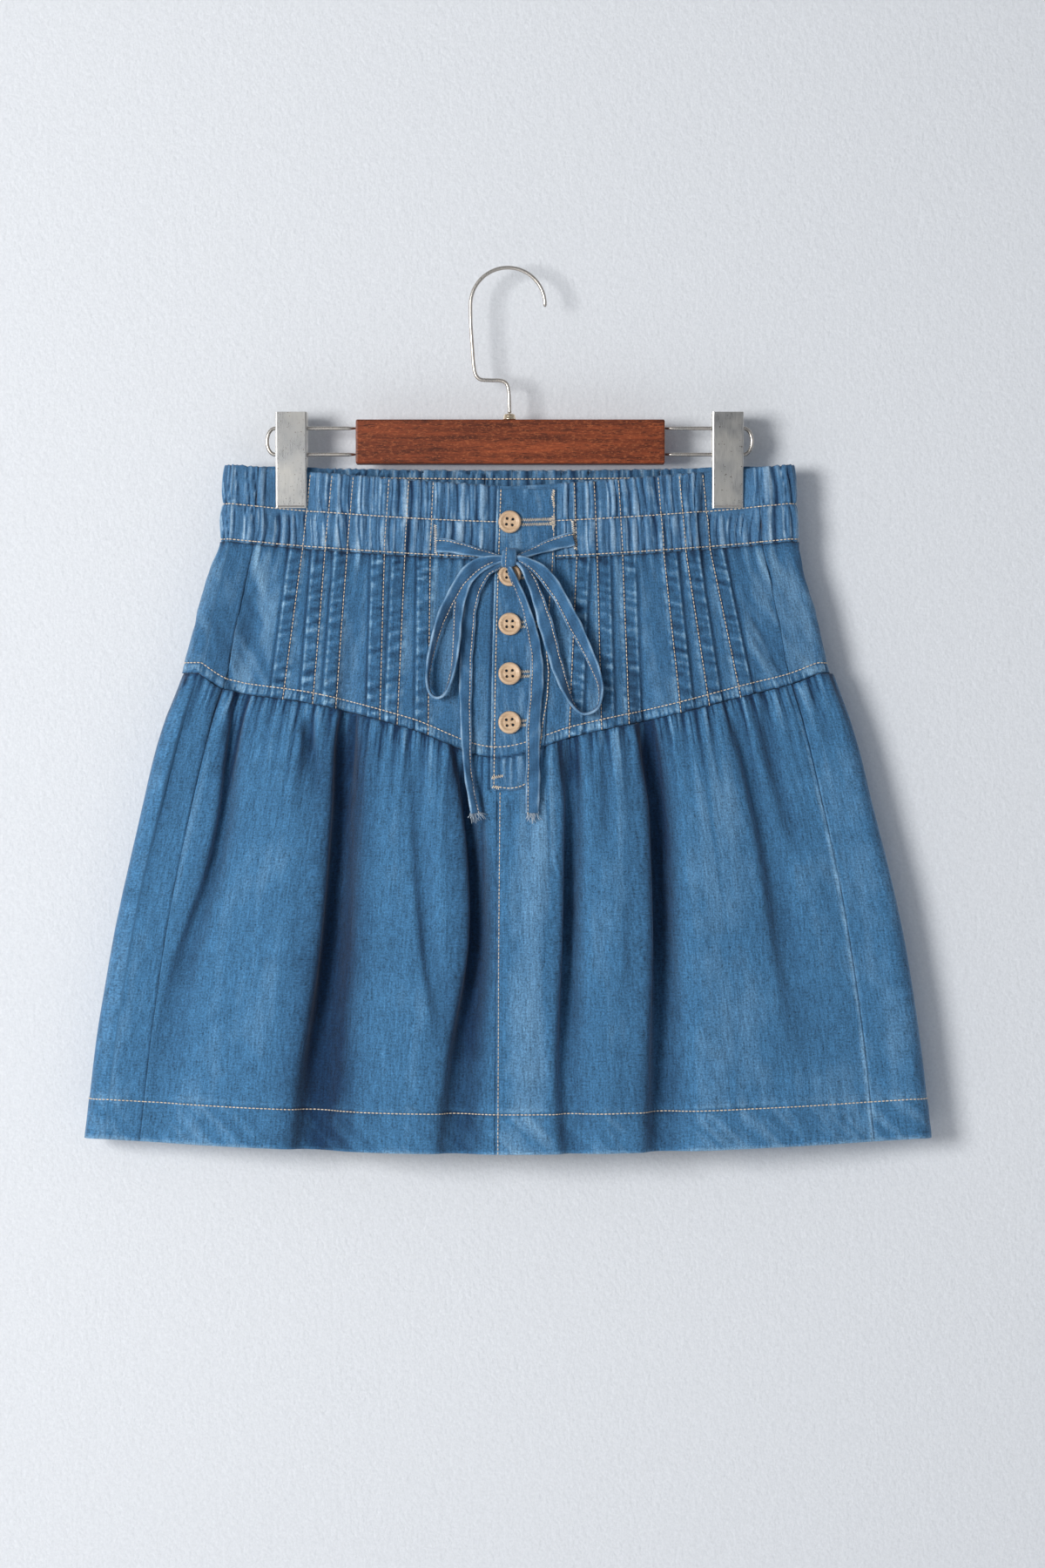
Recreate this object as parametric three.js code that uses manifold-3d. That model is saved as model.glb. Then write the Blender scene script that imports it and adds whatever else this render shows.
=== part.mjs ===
// A denim mini skirt hung by its waistband from a clip hanger, in millimetres, +Z up, its front facing -Y.
// The origin is under the top of the hook's bow, where a rail bears.
import * as THREE from "three";
import { mergeVertices } from "three/addons/utils/BufferGeometryUtils.js";
import Module from "manifold-3d";

const wasm = await Module();
wasm.setup();

// ---- Driving sizes of the cloth
const SEAM_GAP = 0.3; // between two pieces that are sewn or held together
const CLOTH = 1.4; // denim wall
const CASING = 2.4; // waistband: two layers of denim round an elastic
const PLACKET = 1.3; // the button strip
const HEM_DEPTH = 25; // turned-up hem
const HEM_GROOVE = 0.4; // how far its stitching draws the cloth in

// The skirt's outline at each height: half its width, how far its front and back stand from the hanger's plane,
// and the radius of the fold at each side.
const SECTIONS = [
  { z: -126, half: 180, front: 10, back: 9, end: 5 },
  { z: -150, half: 181.5, front: 11.5, back: 9.5, end: 5 },
  { z: -174, half: 183, front: 13, back: 10.5, end: 5 },
  { z: -200, half: 189.5, front: 16, back: 12, end: 5.5 },
  { z: -230, half: 197, front: 19, back: 14, end: 6 },
  { z: -257, half: 203, front: 22, back: 15, end: 6.5 },
  { z: -285, half: 213, front: 26, back: 17, end: 7 },
  { z: -330, half: 226, front: 31, back: 19, end: 8 },
  { z: -400, half: 243.5, front: 35, back: 20, end: 9 },
  { z: -480, half: 258, front: 36, back: 21, end: 10 },
  { z: -551, half: 266.5, front: 36, back: 21, end: 10 },
];
const SWELL = 1.25; // how the front and back round from their middle to the side folds

// The garment's level lines, at the sides, with their dip at the middle of the front and the back.
const LINES = {
  top: { side: -126, frontDip: 14, backDip: 2.5, power: 1.2 },
  row1: { side: -149, frontDip: 12, backDip: 3, power: 1.5 },
  row2: { side: -173, frontDip: 12, backDip: 4, power: 1.5 },
  hem: { side: -551, frontDip: 8, backDip: 5, power: 2 },
};

// The yoke seam across the front, by share of its half width; behind, it dips evenly.
const YOKE_SEAM = [
  { e: -1, z: -256.5 },
  { e: -0.9, z: -267 },
  { e: -0.6, z: -276.5 },
  { e: -0.3, z: -292 },
  { e: -0.045, z: -310 },
  { e: 0.2, z: -296.5 },
  { e: 0.5, z: -283 },
  { e: 0.75, z: -270.5 },
  { e: 0.9, z: -263.5 },
  { e: 1, z: -256.5 },
];
const YOKE_SEAM_BACK_DIP = 24;

// Where the side seams and the centre seam lie, as share of the front's half width.
const SIDE_SEAM = { left: -0.91, right: 0.9 };
const CENTRE_SEAM = -0.035;

// Folds of the cloth: each trough runs through these stations, with its depth and its half width at each.
const FRONT_FOLDS = {
  leftSide: [
    { z: -190, x: -154, depth: 2, width: 10 },
    { z: -262, x: -177, depth: 4, width: 10 },
    { z: -330, x: -189, depth: 6, width: 11 },
    { z: -420, x: -205, depth: 5, width: 13 },
    { z: -500, x: -219, depth: 2, width: 16 },
    { z: -551, x: -226, depth: 0.5, width: 18 },
  ],
  leftDeep: [
    { z: -200, x: -91, depth: 0, width: 8 },
    { z: -275, x: -102, depth: 8, width: 9 },
    { z: -340, x: -107, depth: 17, width: 12 },
    { z: -430, x: -114, depth: 20, width: 14 },
    { z: -510, x: -122, depth: 15, width: 18 },
    { z: -556, x: -126, depth: 11, width: 20 },
  ],
  leftShort: [
    { z: -275, x: -128, depth: 0, width: 6 },
    { z: -300, x: -128, depth: 4, width: 6 },
    { z: -350, x: -132, depth: 0, width: 8 },
  ],
  leftShallow: [
    { z: -285, x: -60, depth: 0, width: 7 },
    { z: -340, x: -57, depth: 3, width: 8 },
    { z: -430, x: -51, depth: 5, width: 8 },
    { z: -480, x: -42, depth: 2, width: 9 },
    { z: -510, x: -38, depth: 0, width: 9 },
  ],
  centreLeft: [
    { z: -290, x: -33, depth: 0, width: 8 },
    { z: -320, x: -30, depth: 9, width: 8 },
    { z: -370, x: -24, depth: 15, width: 9 },
    { z: -430, x: -23, depth: 17, width: 10 },
    { z: -500, x: -31, depth: 12, width: 14 },
    { z: -558, x: -35, depth: 8, width: 16 },
  ],
  centreRight: [
    { z: -290, x: 38, depth: 0, width: 7 },
    { z: -320, x: 38, depth: 6, width: 7 },
    { z: -370, x: 37, depth: 12, width: 8 },
    { z: -430, x: 36, depth: 14, width: 9 },
    { z: -500, x: 35, depth: 10, width: 11 },
    { z: -558, x: 39, depth: 7, width: 12 },
  ],
  rightDeep: [
    { z: -200, x: 76, depth: 0, width: 7 },
    { z: -280, x: 84, depth: 7, width: 8 },
    { z: -340, x: 91, depth: 16, width: 11 },
    { z: -430, x: 94, depth: 19, width: 12 },
    { z: -510, x: 95, depth: 14, width: 15 },
    { z: -556, x: 95, depth: 10, width: 16 },
  ],
  rightShallow: [
    { z: -270, x: 138, depth: 1, width: 7 },
    { z: -300, x: 146, depth: 5, width: 7 },
    { z: -370, x: 163, depth: 6, width: 10 },
    { z: -440, x: 176, depth: 4, width: 12 },
    { z: -510, x: 190, depth: 0, width: 14 },
  ],
};
const BACK_FOLDS = {
  right: [
    { z: -210, x: 120, depth: 0, width: 10 },
    { z: -290, x: 128, depth: 5, width: 11 },
    { z: -430, x: 148, depth: 9, width: 15 },
    { z: -556, x: 158, depth: 6, width: 19 },
  ],
  middleRight: [
    { z: -220, x: 40, depth: 0, width: 10 },
    { z: -300, x: 44, depth: 5, width: 11 },
    { z: -430, x: 55, depth: 9, width: 14 },
    { z: -556, x: 62, depth: 6, width: 18 },
  ],
  middleLeft: [
    { z: -220, x: -36, depth: 0, width: 10 },
    { z: -300, x: -38, depth: 5, width: 10 },
    { z: -430, x: -46, depth: 8, width: 13 },
    { z: -556, x: -50, depth: 5, width: 17 },
  ],
  left: [
    { z: -210, x: -112, depth: 0, width: 10 },
    { z: -290, x: -118, depth: 5, width: 11 },
    { z: -430, x: -136, depth: 10, width: 15 },
    { z: -556, x: -146, depth: 6, width: 20 },
  ],
};

// Lapped tucks of the front yoke: where each one's stitching lies at the waistband and at the yoke seam,
// and the side that its folded edge faces.
const TUCKS = [
  { atWaist: -131, atSeam: -143, faces: -1 },
  { atWaist: -116.5, atSeam: -124, faces: -1 },
  { atWaist: -102.5, atSeam: -110, faces: -1 },
  { atWaist: -79, atSeam: -81.5, faces: -1 },
  { atWaist: -66, atSeam: -70.5, faces: -1 },
  { atWaist: -50, atSeam: -51, faces: -1 },
  { atWaist: 42.5, atSeam: 37.5, faces: 1 },
  { atWaist: 55.5, atSeam: 58, faces: 1 },
  { atWaist: 71.5, atSeam: 75, faces: 1 },
  { atWaist: 97.5, atSeam: 108, faces: 1 },
  { atWaist: 111.5, atSeam: 126, faces: 1 },
  { atWaist: 127, atSeam: 146, faces: 1 },
];
const TUCK = { width: 8, height: 1.3, lap: 0.35, falloff: 2.6 };
const TUCK_CLEAR = 0.0015; // the least share of q between a tuck's lines and the other places of its rows

// Gathers: how many waves each piece has, and how far they stand out.
const WAIST_WAVES = { left: 22, right: 22, back: 42 };
const SEAM_WAVES = { left: 20, right: 20, back: 36 };
const WAIST_WAVE = { height: 1.3, puff: 0.8 };
const SEAM_WAVE = { height: 1.7, fade: 26, swell: 4 };
const UNEVEN = { shift: [0.26, 0.12], pace: [2.4, 5.1], dip: -0.15, least: 0.72, spread: 0.28, beat: 1.7, phase: 0.6 };

// ---- Driving sizes of the trim
const PLACKET_EDGES = [
  { z: -138, left: -7.6, right: 29.5 },
  { z: -200, left: -9.5, right: 28.5 },
  { z: -260, left: -11, right: 24.5 },
  { z: -318, left: -11.8, right: 20.5 },
  { z: -324, left: -11.8, right: 18 },
  { z: -329, left: -11.5, right: 10 },
  { z: -331, left: -9.5, right: 3 },
];
const PLACKET_STRAIGHT = 4; // rows of the table above its rounded foot
const PLACKET_TOP = -140.5;
const PLACKET_LIFT = 0.45; // over the cloth that it is sewn to
const PLACKET_FLAT = { margin: 6, fade: 5 }; // how far round it the gathers are pressed flat
const BUTTON = { across: 14.4, thick: 3, rim: 1.5, dish: 0.8, round: 0.9, crown: 0.6, slope: 0.7, x: 0.2 };
const BUTTON_HOLE = { across: 1.8, spread: 3.6, sides: 8 };
const BUTTON_HEIGHTS = [-161.4, -195.3, -226.3, -257.7, -288.5];

// Drawstring of folded denim: each stretch runs through these stations, lifted over the cloth.
const TIE = { width: 8.5, thick: 1.5 };
const TIE_RUNS = {
  tie_left_lead: [
    { x: -45.5, z: -175, lift: 2.8 },
    { x: -35, z: -177, lift: 3 },
    { x: -20, z: -180, lift: 4.4 },
    { x: -6.5, z: -182.5, lift: 6.6 },
  ],
  tie_right_lead: [
    { x: 39, z: -173, lift: 2.8 },
    { x: 29, z: -176.5, lift: 3.2 },
    { x: 17, z: -180, lift: 4.8 },
    { x: 6.5, z: -182.5, lift: 6.6 },
  ],
  tie_left_loop: [
    { x: -6.6, z: -187, lift: 9.6 },
    { x: -22, z: -191, lift: 9.4 },
    { x: -33, z: -203, lift: 7.6 },
    { x: -42.5, z: -222, lift: 5 },
    { x: -49, z: -243, lift: 3.4 },
    { x: -50.5, z: -258, lift: 3 },
    { x: -47, z: -268, lift: 2.8 },
    { x: -40.5, z: -266, lift: 2.8 },
    { x: -35.5, z: -253, lift: 3.4 },
    { x: -32.5, z: -235, lift: 4.4 },
    { x: -29, z: -215, lift: 5.4 },
    { x: -22.5, z: -200, lift: 6.4 },
    { x: -13.5, z: -193, lift: 7.4 },
  ],
  tie_right_loop: [
    { x: 6.6, z: -187, lift: 9.6 },
    { x: 19, z: -191, lift: 9.4 },
    { x: 30, z: -203, lift: 7.6 },
    { x: 42, z: -221, lift: 5 },
    { x: 52, z: -241, lift: 3.4 },
    { x: 56.5, z: -260, lift: 3 },
    { x: 56, z: -274, lift: 2.8 },
    { x: 49, z: -281, lift: 2.8 },
    { x: 40.5, z: -276, lift: 2.8 },
    { x: 32, z: -259, lift: 3.6 },
    { x: 25, z: -236, lift: 4.8 },
    { x: 20.5, z: -213, lift: 7 },
    { x: 13.5, z: -197.5, lift: 7.8 },
  ],
  tie_left_tail: [
    { x: -8.5, z: -190, lift: 5.7 },
    { x: -15, z: -195.5, lift: 5.1 },
    { x: -20, z: -204, lift: 3 },
    { x: -23, z: -225.5, lift: 1.6 },
    { x: -27, z: -256, lift: 1.6 },
    { x: -28.5, z: -287.5, lift: 2.4 },
    { x: -27.5, z: -311, lift: 3.8 },
    { x: -24.8, z: -334, lift: 3.6 },
    { x: -21.5, z: -345, lift: 3.4 },
  ],
  tie_right_tail: [
    { x: 1.6, z: -191.5, lift: 5.6 },
    { x: 5, z: -200.5, lift: 5.7 },
    { x: 9, z: -210.5, lift: 4.8 },
    { x: 14, z: -232, lift: 2.4 },
    { x: 16, z: -256, lift: 2.2 },
    { x: 14.5, z: -287.5, lift: 2.2 },
    { x: 15.5, z: -318, lift: 3 },
    { x: 14, z: -345, lift: 3 },
  ],
};
const KNOT = { x: 0, z: -184.5, lift: 8.3, wide: 12, high: 10.5, thick: 7 };

// ---- Driving sizes of the clip hanger
const WIRE = { radius: 1.2, sides: 8, steps: 48 };
const BOW = { radius: 23.65, x: -1.1, from: -3, steps: 14 }; // the hook's bow, to the wire's middle
const NECK = [
  { x: -24.6, z: -34 },
  { x: -23.7, z: -48 },
  { x: -22.8, z: -60 },
  { x: -21.6, z: -66.5 },
  { x: -18.6, z: -69.7 },
  { x: -13, z: -70.3 },
  { x: -6, z: -70.5 },
  { x: -2.2, z: -72.2 },
  { x: -0.6, z: -76.5 },
  { x: -0.1, z: -84 },
];
const FERRULE = { radius: 3.6, top: -91.6, bottom: -95.4, foot: 0.4, footHigh: 0.8, shoulder: 1, taper: 0.6, x: 0 };
const BAR = { x: 0.5, half: 98, top: -95.7, height: 28, depth: 13, round: 1.2 };
const RAIL = { upper: -100.9, lower: -117.5, reach: 154, bend: 5, bends: 8, steps: 24 };
const CLIP = { x: 138.4, width: 20, top: -91, bottom: -151.8, plate: 1.2, out: 8, shoulder: -124, jaw: -141 };
const FLANGE = { clear: 0.45, hollow: 2, from: -119, lap: 0.2 }; // stops this clear of the rail's wire
const CLIP_SPRING = { z: -109.2, radius: 6.4, half: 6, sides: 20 };
const GRIP = { half: 17.5, power: 6, full: -154, gone: -205 }; // how far the clips press the cloth flat

// ---- Small helpers
const clamp = (t) => Math.min(1, Math.max(0, t));
const ease = (t) => clamp(t) ** 2 * (3 - 2 * clamp(t));
const mix = (a, b, t) => a + (b - a) * t;
const radians = THREE.MathUtils.degToRad;
const evenly = (from, to, count) => Array.from({ length: count + 1 }, (_, i) => mix(from, to, i / count));

// A column of a table at a value of its key, on a smooth curve through its rows.
function read(rows, key, at, column) {
  const way = Math.sign(rows[1][key] - rows[0][key]);
  let i = 0;
  while (i < rows.length - 2 && (at - rows[i + 1][key]) * way > 0) i += 1;
  const [a, b] = [rows[i], rows[i + 1]];
  const [before, after] = [rows[i - 1] ?? a, rows[i + 2] ?? b];
  const slope = (p, q) => (q[column] - p[column]) / (q[key] - p[key]);
  const span = b[key] - a[key];
  const t = clamp((at - a[key]) / span);
  const [rise, fall] = [slope(before, b) * span, slope(a, after) * span];
  const [t2, t3] = [t * t, t * t * t];
  return (
    (2 * t3 - 3 * t2 + 1) * a[column] +
    (t3 - 2 * t2 + t) * rise +
    (3 * t2 - 2 * t3) * b[column] +
    (t3 - t2) * fall
  );
}

// ---- The skirt's surface. q goes round it: across the front from left to right, round the right side's fold,
// across the back and round the left side's fold. e is -1 at the left end of the front and 1 at the right.
const SIDE = 0.05; // the share of q that a side's fold takes, against 1 for the front
const ROUND = 2 + 2 * SIDE;
const wrap = (q) => (q > ROUND ? q - ROUND : q < 0 ? q + ROUND : q);
const atShare = (e) => (e + 1) / 2;
function shareAcross(q) {
  if (q <= 1) return 2 * q - 1;
  return 1 - 2 * clamp(q - 1 - SIDE);
}

function lineHeight(line, q) {
  const e = shareAcross(q);
  const isFront = q <= 1;
  if (line === "seam") {
    return isFront ? read(YOKE_SEAM, "e", e, "z") : YOKE_SEAM[0].z - YOKE_SEAM_BACK_DIP * (1 - e * e);
  }
  const { side, frontDip, backDip, power } = LINES[line];
  return side - (isFront ? frontDip * (1 - Math.abs(e) ** power) : backDip * (1 - e * e));
}

function foldDepth(folds, x, z) {
  let depth = 0;
  for (const fold of Object.values(folds)) {
    const from = fold[0].z;
    const to = fold.at(-1);
    if (z > from || (z < to.z && to.depth === 0)) continue;
    const away = (x - read(fold, "z", z, "x")) / read(fold, "z", z, "width");
    depth += Math.max(0, read(fold, "z", z, "depth")) * Math.exp(-away * away);
  }
  return depth;
}

// How firmly the clips press the cloth together at a place: 1 under a jaw, 0 away from it.
function grip(x, z) {
  const across = Math.abs(Math.abs(x) - CLIP.x) / GRIP.half;
  return Math.exp(-(across ** GRIP.power)) * ease((z - GRIP.gone) / (GRIP.full - GRIP.gone));
}

const reachAt = (z) => read(SECTIONS, "z", z, "half") - read(SECTIONS, "z", z, "end");

// A point of the cloth's smooth outer surface, with its folds and without its gathers.
function surface(place, z, folded = true) {
  const q = wrap(place);
  const end = read(SECTIONS, "z", z, "end");
  const reach = reachAt(z);
  if (q > 1 && q < 1 + SIDE) {
    const turn = ((q - 1) / SIDE) * Math.PI;
    return new THREE.Vector3(reach + end * Math.sin(turn), -end * Math.cos(turn), z);
  }
  if (q > 2 + SIDE) {
    const turn = ((q - 2 - SIDE) / SIDE) * Math.PI;
    return new THREE.Vector3(-reach - end * Math.sin(turn), end * Math.cos(turn), z);
  }
  const isFront = q <= 1;
  const e = shareAcross(q);
  const x = e * reach;
  const deep = read(SECTIONS, "z", z, isFront ? "front" : "back");
  const folds = folded ? foldDepth(isFront ? FRONT_FOLDS : BACK_FOLDS, x, z) : 0;
  const loose = end + (deep - end) * (1 - e * e) ** SWELL - folds;
  const y = mix(loose, CASING + SEAM_GAP, grip(x, z));
  return new THREE.Vector3(x, isFront ? -y : y, z);
}

// The level direction that faces away from the cloth, so that a raised point keeps its height.
function outward(q, z, folded = true) {
  const step = 0.002;
  const along = surface(q + step, z, folded).sub(surface(q - step, z, folded));
  return new THREE.Vector3(along.y, -along.x, 0).normalize();
}

const raised = (q, z, height, folded = true) =>
  surface(q, z, folded).addScaledVector(outward(q, z, folded), height);
const acrossFront = (x, z) => atShare(x / reachAt(z));

// ---- Walls: rows of points, outside and inside, are joined strip by strip into one closed mesh.
function wall(outer, inner) {
  const vertices = [];
  const faces = [];
  const number = (rows) => rows.map((row) => row.points.map(({ at, t }) => ({ at: vertices.push(at) - 1, t })));
  const join = (upper, lower) => {
    let [i, j] = [0, 0];
    while (i < upper.length - 1 || j < lower.length - 1) {
      const lowerNext = i === upper.length - 1 || (j < lower.length - 1 && lower[j + 1].t <= upper[i + 1].t);
      if (lowerNext) faces.push(upper[i].at, lower[j].at, lower[j + 1].at);
      else faces.push(upper[i].at, lower[j].at, upper[i + 1].at);
      if (lowerNext) j += 1;
      else i += 1;
    }
  };
  const [out, into] = [number(outer), number(inner)];
  for (let i = 1; i < out.length; i += 1) join(out[i - 1], out[i]);
  for (let i = 1; i < into.length; i += 1) join(into[i], into[i - 1]);
  join(into[0], out[0]);
  join(out.at(-1), into.at(-1));
  const edge = (rows, list, end) => rows.map((row, i) => ({ at: row.at(end).at, t: list[i].v }));
  join(edge(out, outer, 0), edge(into, inner, 0));
  join(edge(into, inner, -1), edge(out, outer, -1));
  const geometry = new THREE.BufferGeometry();
  const numbers = vertices.flatMap((p) => [p.x, p.y, p.z]);
  geometry.setAttribute("position", new THREE.Float32BufferAttribute(numbers, 3));
  geometry.setIndex(faces);
  return geometry;
}

// One row of a wall: v is its place from the top, 0, to the bottom, 1. Its points lie at the places q,
// at the height z(q), and stand out by height(q, z, index).
function row(v, places, z, height) {
  const [first, last] = [places[0], places.at(-1)];
  const points = places.map((q, i) => {
    const level = z(wrap(q));
    return { at: raised(q, level, height(wrap(q), level, i)), t: (q - first) / (last - first) };
  });
  return { v, points };
}

// Places of the crests and troughs of a run of gathers, unevenly spaced.
function gathered(from, to, waves) {
  const ends = 2 * waves;
  return Array.from({ length: ends + 1 }, (_, k) => {
    const { shift, pace } = UNEVEN;
    const moved = shift[0] * Math.sin(pace[0] * k) + shift[1] * Math.sin(pace[1] * k + 1);
    return mix(from, to, (k + (k === 0 || k === ends ? 0 : moved)) / ends);
  });
}
const waveAt = (k) =>
  (k % 2 ? 1 : UNEVEN.dip) * (UNEVEN.least + UNEVEN.spread * Math.sin(UNEVEN.beat * k + UNEVEN.phase));

// 1 where the placket lies on the cloth, which is flat there, and 0 away from it.
function underPlacket(q, z) {
  const { margin, fade } = PLACKET_FLAT;
  if (q > 1 || z < PLACKET_EDGES.at(-1).z - margin) return 0;
  const x = shareAcross(q) * reachAt(z);
  const straight = PLACKET_EDGES.slice(0, PLACKET_STRAIGHT);
  const [left, right] = ["left", "right"].map((edge) => read(straight, "z", z, edge));
  return ease((x - left + margin) / fade) * ease((right + margin - x) / fade);
}

// ---- Materials
const cloth = (color) => new THREE.MeshStandardMaterial({ color, roughness: 0.9, metalness: 0 });
const metal = (color, roughness) => new THREE.MeshStandardMaterial({ color, roughness, metalness: 0.9 });
const denim = cloth("#4b779f");
const casingDenim = cloth("#5a7795");
const tieDenim = cloth("#426c94");
const wire = metal("#b9b6ae", 0.35);
const clipSteel = metal("#a8a8a6", 0.3);
const timber = new THREE.MeshStandardMaterial({ color: "#834c39", roughness: 0.45, metalness: 0 });
const corozo = new THREE.MeshStandardMaterial({ color: "#c99f6c", roughness: 0.5, metalness: 0 });

const hungSkirt = new THREE.Group();
function add(name, geometry, material) {
  const mesh = new THREE.Mesh(geometry, material);
  mesh.name = name;
  hungSkirt.add(mesh);
  return mesh;
}

// ---- The cloth's panels, from seam to seam
const FRONT_ACROSS = 2 * SECTIONS[0].half;
const GAP_Q = SEAM_GAP / 2 / FRONT_ACROSS; // half a seam's gap, as a share of the way across the front
const PANELS = {
  left: [atShare(SIDE_SEAM.left) + GAP_Q, atShare(CENTRE_SEAM) - GAP_Q],
  right: [atShare(CENTRE_SEAM) + GAP_Q, atShare(SIDE_SEAM.right) - GAP_Q],
  back: [atShare(SIDE_SEAM.right) + GAP_Q, ROUND + atShare(SIDE_SEAM.left) - GAP_Q],
};
const PANEL_NAMES = { left: "front_left", right: "front_right", back: "back" };
const between = (upper, lower, t) => (q) =>
  mix(lineHeight(upper, q) - SEAM_GAP / 2, lineHeight(lower, q) + SEAM_GAP / 2, t);

// Waistband: a casing in two channels, each puffed over its elastic, gathered all round and flat under the placket.
function waistband(panel) {
  const [from, to] = PANELS[panel];
  const waves = WAIST_WAVES[panel];
  const places = gathered(from, to, waves);
  const profile = [
    { v: 0, z: between("top", "row1", 0), wave: 0.45, puff: 0 },
    { v: 0.25, z: between("top", "row1", 0.5), wave: 1, puff: 1 },
    { v: 0.5, z: between("row1", "row1", 0.5), wave: 0.35, puff: 0 },
    { v: 0.75, z: between("row1", "row2", 0.5), wave: 1, puff: 1 },
    { v: 1, z: between("row1", "row2", 1), wave: 0.35, puff: 0 },
  ];
  const outer = profile.map(({ v, z, wave, puff }) =>
    row(v, places, z, (q, level, k) => {
      const free = (1 - grip(surface(q, level).x, level)) * (1 - underPlacket(q, level));
      return free * (puff * WAIST_WAVE.puff + wave * WAIST_WAVE.height * waveAt(k));
    }),
  );
  const plain = evenly(from, to, waves);
  const inner = [0, 2, 4].map((i) => row(profile[i].v, plain, profile[i].z, () => -CASING));
  return wall(outer, inner);
}

// Yoke: flat cloth with lapped tucks in front; only its outer face follows them. Each tuck is a step at its
// folded edge, runs level to its stitching and falls off behind it.
const TUCK_STEPS = [
  { away: -TUCK.falloff, height: 0 },
  { away: 0, height: 0.75 * TUCK.height },
  { away: TUCK.width, height: TUCK.height },
  { away: TUCK.width + TUCK.lap, height: 0 },
];
const tuckLine = (tuck, v) => mix(tuck.atWaist, tuck.atSeam, v);
function tuckRise(tucks, x, v) {
  for (const tuck of tucks) {
    const away = (x - tuckLine(tuck, v)) * tuck.faces;
    const i = TUCK_STEPS.findIndex((step, k) => k > 0 && away < step.away);
    if (i > 0 && away > TUCK_STEPS[0].away) {
      const [a, b] = [TUCK_STEPS[i - 1], TUCK_STEPS[i]];
      return mix(a.height, b.height, (away - a.away) / (b.away - a.away));
    }
  }
  return 0;
}

function yoke(panel) {
  const [from, to] = PANELS[panel];
  const isBack = panel === "back";
  const tucks = isBack ? [] : TUCKS.filter(({ faces }) => faces === (panel === "left" ? -1 : 1));
  const z = (v) => between("row2", "seam", v);
  const even = evenly(from, to, isBack ? 40 : 16);
  const edgePlaces = (v, middle) => {
    if (v === 0) return gathered(from, to, WAIST_WAVES[panel]);
    return v === 1 ? gathered(from, to, SEAM_WAVES[panel]) : middle;
  };
  const outer = (isBack ? [0, 0.35, 0.7, 1] : [0, 0.15, 0.4, 0.7, 1]).map((v) => {
    const lines = tucks.flatMap((tuck) =>
      TUCK_STEPS.map(({ away }) => {
        const x = tuckLine(tuck, v) + tuck.faces * away;
        return acrossFront(x, z(v)(acrossFront(x, LINES.row2.side)));
      }),
    );
    const clear = (q) => lines.every((line) => Math.abs(line - q) > TUCK_CLEAR);
    const places = [...lines, ...edgePlaces(v, even).filter(clear)].sort((a, b) => a - b);
    return row(v, places, z(v), (q, level) => tuckRise(tucks, shareAcross(q) * reachAt(level), v));
  });
  const plain = { 0: evenly(from, to, WAIST_WAVES[panel]), 1: evenly(from, to, isBack ? 72 : 42) };
  const inner = [0, 0.35, 0.7, 1].map((v) => row(v, plain[v] ?? even, z(v), () => -CLOTH));
  return wall(outer, inner);
}

// Skirt: gathered into the yoke seam, with the large folds running down to a turned and stitched hem.
function skirt(panel) {
  const [from, to] = PANELS[panel];
  const isBack = panel === "back";
  const waves = SEAM_WAVES[panel];
  const ruffled = gathered(from, to, waves);
  const plain = evenly(from, to, isBack ? 72 : 42);
  const z = (v) => between("seam", "hem", v);
  const hemLine = (q) => lineHeight("hem", q) + HEM_DEPTH;
  const outer = [0, 0.035, 0.11, 0.22].map((v) =>
    row(v, ruffled, z(v), (q, level, k) => {
      const drop = lineHeight("seam", q) - level;
      const fade = Math.exp(-drop / SEAM_WAVE.fade);
      const rise = 1 - Math.exp(-drop / SEAM_WAVE.swell);
      return SEAM_WAVE.height * waveAt(k) * fade * mix(0.4, 1.2, rise) * (1 - underPlacket(q, level));
    }),
  );
  outer.push(...[0.36, 0.55, 0.75].map((v) => row(v, plain, z(v), () => 0)));
  outer.push(row(0.9, plain, hemLine, () => -HEM_GROOVE));
  outer.push(row(1, plain, z(1), () => 0));
  const inner = [0, 0.11, 0.22, 0.36, 0.55, 0.75, 1].map((v) => row(v, plain, z(v), () => -CLOTH));
  return wall(outer, inner);
}

for (const [panel, name] of Object.entries(PANEL_NAMES)) {
  add(`waistband_${name}`, waistband(panel), casingDenim);
  add(`yoke_${name}`, yoke(panel), denim);
  add(`skirt_${name}`, skirt(panel), denim);
}

// ---- Placket: the strip that the buttons close, on the outside of the front
function placket() {
  const foot = PLACKET_EDGES.slice(PLACKET_STRAIGHT).map(({ z }) => z);
  const levels = [...evenly(PLACKET_TOP, PLACKET_EDGES[PLACKET_STRAIGHT - 1].z, 12), ...foot];
  const rows = (lift) =>
    levels.map((level, i) => {
      const [left, right] = ["left", "right"].map((edge) => read(PLACKET_EDGES, "z", level, edge));
      const places = evenly(left, right, 5).map((x) => acrossFront(x, level));
      return row(i / (levels.length - 1), places, () => level, () => lift);
    });
  return wall(rows(PLACKET_LIFT + PLACKET), rows(PLACKET_LIFT));
}
add("placket", placket(), denim);

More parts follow.
